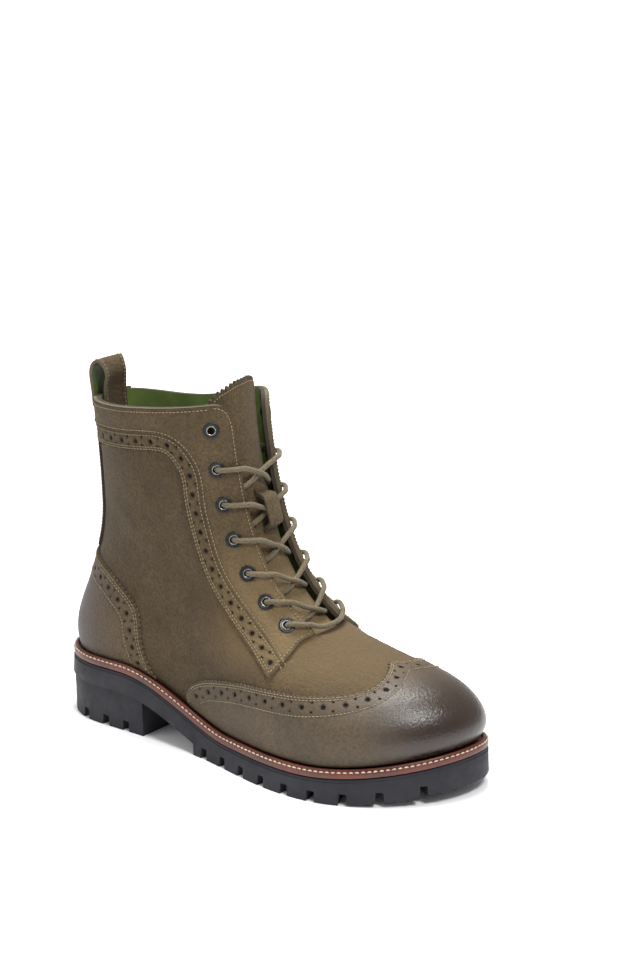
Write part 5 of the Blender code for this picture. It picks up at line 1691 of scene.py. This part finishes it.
def zip_teeth(pitch=0.00155):
    """Both rows of teeth, meeting in the middle."""
    path = even(np.column_stack([[zip_u(v) for v in np.linspace(1.6, 13.6, 120)],
                                 np.linspace(1.6, 13.6, 120)]), 0.0005)
    gone = walked(path)
    points, faces = [], []
    shape = [(-0.5, 0.25), (-0.5, 0.75), (-0.32, 1.0), (0.32, 1.0), (0.5, 0.75), (0.5, 0.25)]
    for side, shift in ((-1, 0.0), (1, 0.5)):
        at = np.arange((0.5 + shift) * pitch, gone[-1] - pitch, pitch)
        uv = read_at(path, gone, at)
        centres, outs, lefts = place(uv, TEETH_LIFT - 0.0003), normals_at(uv), left_of(uv)
        ups = np.cross(lefts, outs)
        for c, n, l, up in zip(centres, outs, lefts, ups):
            first = len(points)
            for reach, swell in ((-0.00035, 0.75), (0.0004, 1.0), (0.0019, 1.0), (0.0026, 0.7)):
                for a, b in shape:
                    points.append(c + side * reach * l + up * a * pitch * 0.66 * swell
                                  + n * (0.0003 + b * 0.00125 * swell))
            for r in range(3):
                for k in range(6):
                    p, q = first + r * 6 + k, first + r * 6 + (k + 1) % 6
                    faces.append((p, q, q + 6, p + 6) if side > 0 else (p, p + 6, q + 6, q))
            caps = (tuple(first + k for k in reversed(range(6))), tuple(first + 18 + k for k in range(6)))
            faces.extend(caps if side > 0 else [tuple(reversed(c)) for c in caps])
    return faced_out(mesh_piece("teeth_piece", points, faces, [old_metal], sharp=35,
                                replaces=("zip_teeth",), slot="zip_teeth"))


teeth_piece = zip_teeth()
print("tape", len(tape_piece.data.polygons), "teeth", len(teeth_piece.data.polygons))

# %% [markdown]
# ## Slider and pull tab
# The slider stays where the photograph has it. The pull tab swings on a pin through the slider's lug, so
# both are measured from the joint that the frame's record gives. Flat metal parts are cut from outlines.

# %% The slider's own axes
hinge = frame["record"]["behaviour"]["joints"][0]
PIN = np.array(hinge["pos_m"])
ACROSS = np.array(hinge["axis"]) / np.linalg.norm(hinge["axis"])
slider_uv = np.array([[zip_u(13.3), 13.3]])
OUT = normals_at(slider_uv)[0]
OUT = OUT - ACROSS * (OUT @ ACROSS)
OUT /= np.linalg.norm(OUT)
UP = np.cross(OUT, ACROSS)
UP *= np.sign(UP[2])
PIN_HEIGHT, SLIDER_HEIGHT = 0.0017, 0.0022


print("the pin is at", PIN)


# %% Outlines and plates
def rounded_loop(corners, radius, steps=5):
    """A closed outline with its corners rounded."""
    found = []
    corners = np.array(corners, float)
    for k, corner in enumerate(corners):
        before, after = corners[k - 1], corners[(k + 1) % len(corners)]
        r = min(radius, 0.45 * np.linalg.norm(before - corner), 0.45 * np.linalg.norm(after - corner))
        a = corner + (before - corner) / np.linalg.norm(before - corner) * r
        b = corner + (after - corner) / np.linalg.norm(after - corner) * r
        for t in np.linspace(0, 1, steps + 1):
            found.append((1 - t) ** 2 * a + 2 * t * (1 - t) * corner + t * t * b)
    return np.array(found)


def thick_outline(name, loops, levels, point_at, **options):
    """A flat metal part between two levels; point_at turns (x, y, level) into a place in space."""
    found, faces, _ = triangulated(np.concatenate(loops), loops, 1e-9)
    faces, count = faces.tolist(), len(found)
    points = [point_at(x, y, level) for level in levels for x, y in found]
    solid = [tuple(i + count for i in face) for face in faces] + [tuple(reversed(face)) for face in faces]
    return mesh_piece(name, points, solid + walls_of(faces, count), [old_metal], sharp=35, **options)


def on_slider(across, up, out):
    """A place in the slider's own axes, from the middle of the pin."""
    return PIN + ACROSS * across + UP * up + OUT * out


def plate(name, loops, low, high, chamfer=0.00018, **options):
    """A flat part in the slider's own axes: x across, y up the zip, levels along OUT."""
    made = thick_outline(name, loops, (low, high), on_slider, **options)
    bm = bmesh.new()
    bm.from_mesh(made.data)
    bmesh.ops.dissolve_limit(bm, angle_limit=0.02, verts=bm.verts, edges=bm.edges)
    bmesh.ops.recalc_face_normals(bm, faces=bm.faces)
    rims = [e for e in bm.edges if len(e.link_faces) == 2 and e.calc_face_angle(0) > 0.9]
    bmesh.ops.bevel(bm, geom=rims, offset=chamfer, segments=2, affect="EDGES", profile=0.6)
    bm.to_mesh(made.data)
    bm.free()
    return made


print("a rounded square has", len(rounded_loop(square, 0.2)), "points")

# %% The slider, its lug and the pull tab
slider_low = -(SLIDER_HEIGHT + PIN_HEIGHT)
shield = rounded_loop([
    (-0.0040, 0.0046), (-0.0026, 0.0050), (0.0, 0.0044), (0.0026, 0.0050), (0.0040, 0.0046), (0.0042, 0.0008),
    (0.0030, -0.0046), (-0.0030, -0.0046), (-0.0042, 0.0008),
], 0.0012)
slider_plate = plate(
    "slider_plate", [shield], slider_low + 0.0008, slider_low + SLIDER_HEIGHT - 0.0002, 0.0003,
    replaces=("zip_slider",), slot="zip_slider",
)
plate("slider_base", [shield * 0.94], slider_low - 0.0002, slider_low + 0.0008, slot="zip_slider")

LUG_HALF, PIN_HOLE = 0.0012, 0.00075
lug_side = rounded_loop([
    (0.0026, -PIN_HEIGHT - 0.0004), (0.0024, -0.0002), (0.0012, 0.0014), (-0.0006, 0.0015), (-0.0020, 0.0004),
    (-0.0024, -PIN_HEIGHT - 0.0004),
], 0.0008)
pin_angles = np.linspace(0, 2 * np.pi, 13)[:-1]
pin_hole = np.array([(PIN_HOLE * math.cos(a), PIN_HOLE * math.sin(a)) for a in pin_angles])
faced_out(thick_outline(
    "slider_lug", [lug_side, pin_hole], (-LUG_HALF, LUG_HALF),
    lambda up, out, across: on_slider(across, up, out), slot="zip_slider",
))
tab = rounded_loop([
    (-0.0030, 0.0010), (0.0030, 0.0010), (0.0036, -0.0050), (0.0030, -0.0150), (0.0031, -0.0255),
    (-0.0031, -0.0255), (-0.0030, -0.0150), (-0.0036, -0.0050),
], 0.0014)
slot_loop = rounded_loop([
    (-0.0018, -0.0004), (0.0018, -0.0004), (0.0018, -0.0085), (-0.0018, -0.0085),
], 0.0009)
end_hole = rounded_loop([
    (-0.0010, -0.0218), (0.0010, -0.0218), (0.0010, -0.0239), (-0.0010, -0.0239),
], 0.0003)
pull_plate = plate("pull_plate", [tab, slot_loop, end_hole], -0.00055, 0.00055, 0.00022,
                   body="pull_tab", replaces=("zip_pull",), slot="zip_pull")
PIN_HALF, PIN_RADIUS = 0.0022, 0.0005
pin_end = PIN_HALF - 0.3 * PIN_RADIUS
pin_profile = [
    (0.0, -PIN_HALF), (0.8 * PIN_RADIUS, -PIN_HALF), (PIN_RADIUS, -pin_end), (PIN_RADIUS, pin_end),
    (0.8 * PIN_RADIUS, PIN_HALF), (0.0, PIN_HALF),
]
turned("pull_pin", pin_profile, PIN, ACROSS, [old_metal], sides=20, body="pull_tab", slot="zip_pull")
print("slider and pull", len(slider_plate.data.polygons), len(pull_plate.data.polygons))

# %% [markdown]
# ## Welt, sole and heel
# Under the upper everything follows the foot's own plan. A profile of (reach, height) is swept round it:
# a rib and a flange for the storm welt, a rounded edge for the rubber. The gaps between the lugs are cut
# with exact booleans and then all edges are softened by a small bevel.


# %% The foot's plan
def plan_edge(side):
    """The foot's outline on one side, back to front, with its outward ways."""
    points = half_ring(0.0, side)[::-1]
    ways = np.gradient(points[:, :2], axis=0)
    ways /= np.linalg.norm(ways, axis=1, keepdims=True)
    normals = side * np.column_stack([-ways[:, 1], ways[:, 0]])
    normals[0], normals[-1] = (-1, 0), (1, 0)
    return points[:, :2], normals


PLAN = {side: plan_edge(side) for side in (-1, 1)}
BACK_X, TOE_X = PLAN[1][0][0, 0], PLAN[1][0][-1, 0]
WELT_REACH, WELT_THICKNESS = 0.0062, 0.0034
SOLE_THICKNESS, SOLE_FLARE, HEEL_TAPER = 0.0125, 0.0006, 0.0010
LUG_DEPTH, LUG_REACH, TREAD_START = 0.0048, 0.017, 0.122 - HEEL_CENTRE
HEEL_END = HEEL_LENGTH - HEEL_CENTRE


def plan_point(x, side, reach):
    """A point of the outline at x, reaching out from the last's lower edge."""
    points, normals = PLAN[side]
    y = np.interp(x, points[:, 0], points[:, 1])
    normal = np.array([np.interp(x, points[:, 0], normals[:, k]) for k in range(2)])
    normal /= np.linalg.norm(normal)
    return np.array([x, y]) + reach * normal


def bed_at(x):
    """Height of the welt's top at x."""
    return float(bed(x + HEEL_CENTRE))


def tread_at(x):
    """Height of the tread at x, which rises under the toe."""
    return 0.0095 * max((x + HEEL_CENTRE) / LENGTH - 0.77, 0.0) ** 1.6 / 0.23 ** 1.6


def sole_top(x):
    return bed_at(x) - 2.4 * GAP - WELT_THICKNESS


def sole_bottom(x):
    return tread_at(x) if x >= TREAD_START else sole_top(x) - SOLE_THICKNESS


def spaced(start, end, count):
    """Stations, closer together where an end is round."""
    found = []
    for k in range(count + 1):
        t = k / count
        if start <= BACK_X and end >= TOE_X:
            t = (1 - math.cos(math.pi * t)) / 2
        elif start <= BACK_X:
            t = 1 - math.cos(math.pi * t / 2)
        elif end >= TOE_X:
            t = math.sin(math.pi * t / 2)
        found.append(max(start, BACK_X) + (min(end, TOE_X) - max(start, BACK_X)) * t)
    return found


def swept_round(name, profile, base, at, material, **options):
    """A closed (reach, height) profile swept round the whole foot."""
    walk = [(x, -1) for x in at] + [(x, 1) for x in reversed(at[1:-1])]
    n = len(profile)
    points = [
        (*plan_point(x, side, reach), base(x) + height)
        for x, side in walk for reach, height in profile
    ]
    faces = []
    for k in range(len(walk)):
        for j in range(n):
            a, b = k * n + j, k * n + (j + 1) % n
            faces.append((a, b, (b + n) % len(points), (a + n) % len(points)))
    return faced_out(mesh_piece(name, points, faces, [material], sharp=50, **options))


print("the foot's outline runs from", BACK_X, "to", TOE_X)

# %% Welt and its stitches
round_foot = spaced(BACK_X, TOE_X, 150)
welt_profile = [
    (-0.0050, -0.0037), (0.0056, -0.0037), (0.0061, -0.0034), (0.0062, -0.0028), (0.0062, -0.0006),
    (0.0060, -0.0001), (0.0055, 0.0), (0.0050, -0.0001), (0.00475, 0.0003), (0.0048, 0.0010),
    (0.0044, 0.0015), (0.0038, 0.0017), (0.0032, 0.0015), (0.0029, 0.0010), (0.0029, -0.0009),
    (-0.0050, -0.0009),
]
welt_piece = swept_round("welt_piece", welt_profile, bed_at, round_foot, welt_leather, replaces=("welt",),
                         slot="welt")
welt_walk = [(x, -1) for x in round_foot] + [(x, 1) for x in reversed(round_foot[:-1])]
welt_line = np.array([(*plan_point(x, side, 0.0056), bed_at(x)) for x, side in welt_walk])
welt_ups = np.tile([0.0, 0.0, 1.0], (len(welt_line), 1))
loose_threads("welt_stitches", [welt_line], [welt_ups], welt_thread, pitch=0.0036, radius=0.00048)
print("welt", len(welt_piece.data.polygons), "faces")


# %% [markdown]
# ## Rubber
# Sole and heel are solid blocks with a rounded upper edge. Layers of points under the foot's plan give
# their sides, the notches between the lugs are cut out, and one bevel softens every edge at once.


# %% Rubber blocks
def block_of(name, at, layers):
    """A closed block under the foot from (reach, height function) layers, top to bottom."""
    n = len(layers)
    points = []
    for x in at:
        for side in (-1, 1):
            points.extend((*plan_point(x, side, reach), height(x)) for reach, height in layers)
    row, loop = 2 * n, [*range(n), *reversed(range(n, 2 * n))]
    faces = []
    for k in range(len(at) - 1):
        for a, b in zip(loop, [*loop[1:], loop[0]]):
            faces.append((k * row + a, k * row + b, (k + 1) * row + b, (k + 1) * row + a))
    faces.append(tuple(loop))
    faces.append(tuple((len(at) - 1) * row + i for i in reversed(loop)))
    mesh = bpy.data.meshes.new(name)
    bm = bmesh.new()
    verts = [bm.verts.new(p) for p in points]
    for face in faces:
        corners = [verts[i] for i in face]
        bm.faces.new(corners)
    bmesh.ops.remove_doubles(bm, verts=bm.verts, dist=1e-7)
    bmesh.ops.dissolve_degenerate(bm, edges=bm.edges, dist=1e-7)
    bmesh.ops.triangulate(bm, faces=[f for f in bm.faces if len(f.verts) > 4])
    bmesh.ops.recalc_face_normals(bm, faces=bm.faces)
    bm.to_mesh(mesh)
    bm.free()
    return shown(name, mesh)


print("stations under the forefoot", len(spaced(TREAD_START, TOE_X, 64)))


# %% Cutting the gaps between the lugs
def cut_block(points_low, way, half_length, half_width, height):
    """Corner points of one upright cutting block."""
    way = np.array([*way, 0.0]) / np.linalg.norm(way)
    across = np.array([-way[1], way[0], 0.0])
    up = np.array([0.0, 0.0, 1.0])
    return [
        np.array(points_low) + way * half_length * a + across * half_width * b * w + up * height * c
        for c, w in ((-1, 1.12), (1, 0.88)) for a, b in ((-1, -1), (1, -1), (1, 1), (-1, 1))
    ]


def cut_from(made, boxes):
    """Cut all boxes out of a block at once."""
    mesh = bpy.data.meshes.new("cutters")
    points = [tuple(p) for box in boxes for p in box]
    sides = ((0, 3, 2, 1), (4, 5, 6, 7), (0, 1, 5, 4), (1, 2, 6, 5), (2, 3, 7, 6), (3, 0, 4, 7))
    mesh.from_pydata(points, [], [tuple(8 * k + i for i in s) for k in range(len(boxes)) for s in sides])
    cutter = shown("cutters", mesh)
    step = made.modifiers.new("cut", "BOOLEAN")
    step.operation, step.solver, step.object = "DIFFERENCE", "EXACT", cutter
    step.use_self = True
    soft = made.modifiers.new("soft", "BEVEL")
    soft.width, soft.segments, soft.limit_method, soft.angle_limit = 0.00035, 2, "ANGLE", math.radians(38)
    bpy.context.view_layer.update()
    graph = bpy.context.evaluated_depsgraph_get()
    result = bpy.data.meshes.new_from_object(made.evaluated_get(graph))
    made.modifiers.clear()
    old, made.data = made.data, result
    bpy.data.meshes.remove(old)
    bpy.data.objects.remove(cutter)
    bpy.data.meshes.remove(mesh)
    return made


def finished(made, node, material, smooth=True):
    """The block with its material, riding on the boot in the place of its node."""
    made.data.materials.clear()
    made.data.materials.append(material)
    if smooth:
        made.data.shade_smooth()
        made.data.set_sharp_from_angle(angle=math.radians(34))
    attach(made, "boot")
    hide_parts(node)
    print(node, len(made.data.polygons), "faces")


def side_notches(places, reach, ground, depth=1.4 * LUG_DEPTH):
    """Cutting blocks for the gaps between the lugs, on both sides of the foot."""
    boxes = []
    for x in places:
        for side in (-1, 1):
            edge, inner = plan_point(x, side, WELT_REACH + 0.004), plan_point(x, side, WELT_REACH - reach)
            middle = (*((edge + inner) / 2), ground(x) + depth / 2 - 0.002)
            boxes.append(cut_block(middle, edge - inner, np.linalg.norm(edge - inner) / 2, 0.0026,
                                   depth / 2 + 0.002))
    return boxes


print("a cutting block has", len(cut_block((0, 0, 0), (1, 0), 1, 1, 1)), "corners")

# %% Outsole
rear_at = [*spaced(BACK_X, HEEL_END, 36), *np.linspace(HEEL_END, TREAD_START, 16)[1:]]
front_at = spaced(TREAD_START, TOE_X, 64)
sole_layers = (
    (WELT_REACH - 0.0016, sole_top), (WELT_REACH - 0.0007, lambda x: sole_top(x) - 0.0004),
    (WELT_REACH - 0.0005, lambda x: sole_top(x) - 0.0018),
    (WELT_REACH + 0.0001, lambda x: sole_top(x) - 0.0021),
    (WELT_REACH + 0.4 * SOLE_FLARE, lambda x: 0.5 * (sole_top(x) + sole_bottom(x))),
    (WELT_REACH + SOLE_FLARE, sole_bottom),
)
outsole_piece = block_of("outsole_piece", [*rear_at[:-1], TREAD_START - 0.0004, *front_at], sole_layers)
notch_step = (TOE_X - TREAD_START) / 9.3
notch_xs = [TREAD_START + notch_step * (k + 0.55) for k in range(9)]
boxes = side_notches(notch_xs, LUG_REACH, tread_at)
for x in notch_xs[:-1]:
    x += notch_step / 2
    left, right = plan_point(x, -1, WELT_REACH - LUG_REACH), plan_point(x, 1, WELT_REACH - LUG_REACH)
    span = np.linalg.norm(right - left)
    for share in (0.27, 0.73):
        middle = left + (right - left) * share
        boxes.append(cut_block((*middle, tread_at(x)), right - left, span * 0.17, 0.0014, 0.0022))
cut_from(outsole_piece, boxes)
finished(outsole_piece, "outsole", rubber)

# %% Heel
seat_at = spaced(BACK_X, HEEL_END, 44)
heel_layers = (
    (WELT_REACH - 0.0004, lambda x: sole_bottom(x) - 1.4 * GAP),
    (WELT_REACH - 0.0004 - 0.3 * HEEL_TAPER, lambda x: 0.6 * sole_bottom(x)),
    (WELT_REACH - HEEL_TAPER, lambda x: 0.0),
)
heel_piece = block_of("heel_piece", seat_at, heel_layers)
heel_boxes = side_notches(
    [HEEL_LENGTH * (0.17 + 0.215 * k) - HEEL_CENTRE for k in range(4)], 0.6 * LUG_REACH, lambda x: 0.0)
for x, half in ((-0.012, 0.009), (0.006, 0.011), (0.022, 0.011)):
    heel_boxes.append(cut_block((x, 0.0, 0.0), (0.0, 1.0), half, 0.0014, 0.0022))
cut_from(heel_piece, heel_boxes)
finished(heel_piece, "heel", rubber)

# %% [markdown]
# ## Insole
# A thin board closes the bottom inside. It is a block too, a little smaller than the upper's inside.

# %% Insole
insole_at = spaced(BACK_X, TOE_X, 60)[2:-1]
insole_piece = block_of("insole_piece", insole_at, (
    (-0.0070, lambda x: bed_at(x) + 0.0030), (-0.0060, lambda x: bed_at(x) + 0.0026),
    (-0.0058, lambda x: bed_at(x) - 2 * GAP),
))
finished(insole_piece, "insole", insole_cover, smooth=False)

# %% [markdown]
# ## Floor and light
# A pale floor and soft lights, as in a product studio: the strongest hangs over the boot and gives the
# gloss on the toe, a weaker one stands at the front right, and a wide fill at the left. For the camera
# the surround is white, and so is the floor some way from the boot, where it glows a little: only there,
# because a glow near the boot would wash out its shadow.

# %% Floor and lights
FLOOR_HALF = 9.0
floor_mesh = bpy.data.meshes.new("floor")
floor_mesh.from_pydata(
    [(-FLOOR_HALF, -FLOOR_HALF, 0), (FLOOR_HALF, -FLOOR_HALF, 0), (FLOOR_HALF, FLOOR_HALF, 0),
     (-FLOOR_HALF, FLOOR_HALF, 0)], [], [(0, 1, 2, 3)])
floor = shown("floor", floor_mesh)
pale = Finish("floor_white")
pale.colour((0.93, 0.93, 0.94))
pale.rough(0.6)
reach = pale.nodes.new("ShaderNodeVectorMath")
reach.operation = "LENGTH"
pale.links.new(pale.coordinates, reach.inputs[0])
far_glow = pale.span(reach.outputs["Value"], 0.40, 1.10, 0.0, 0.55)
seen_directly = pale.nodes.new("ShaderNodeLightPath").outputs["Is Camera Ray"]
pale.shader.inputs["Emission Color"].default_value = (1.0, 1.0, 1.0, 1.0)
pale.links.new(pale.maths("MULTIPLY", seen_directly, far_glow), pale.shader.inputs["Emission Strength"])
floor_mesh.materials.append(pale.material)


def soft_light(name, place_at, aim, size, power):
    """An area light that looks at a point."""
    data = bpy.data.lights.new(name, "AREA")
    data.shape = "RECTANGLE"
    data.size, data.size_y = size
    data.energy = power
    lamp = shown(name, data)
    lamp.location = place_at
    lamp.rotation_euler = (Vector(aim) - Vector(place_at)).to_track_quat("-Z", "Y").to_euler()


soft_light("key", (0.95, -0.30, 1.25), (0.10, 0.0, 0.08), (0.36, 0.36), 15.0)
soft_light("fill", (-0.9, -1.6, 1.0), (0.05, 0.0, 0.10), (1.6, 1.2), 12.0)
soft_light("top", (-0.05, 0.15, 1.43), (0.05, 0.0, 0.1), (0.55, 0.55), 30.0)
print("lights placed")

# %% Surround
world = bpy.data.worlds.new("surround")
world.use_nodes = True
world.node_tree.nodes["Background"].inputs["Color"].default_value = (1.0, 1.0, 1.0, 1.0)
seen = world.node_tree.nodes.new("ShaderNodeLightPath")
brightness = world.node_tree.nodes.new("ShaderNodeMapRange")
brightness.inputs["To Min"].default_value = 0.52
brightness.inputs["To Max"].default_value = 1.05
background = world.node_tree.nodes["Background"]
world.node_tree.links.new(seen.outputs["Is Camera Ray"], brightness.inputs["Value"])
world.node_tree.links.new(brightness.outputs["Result"], background.inputs["Strength"])
bpy.context.scene.world = world
bpy.context.scene.view_settings.view_transform = "Standard"
print("surround", background.inputs["Color"].default_value[:3])

# %% [markdown]
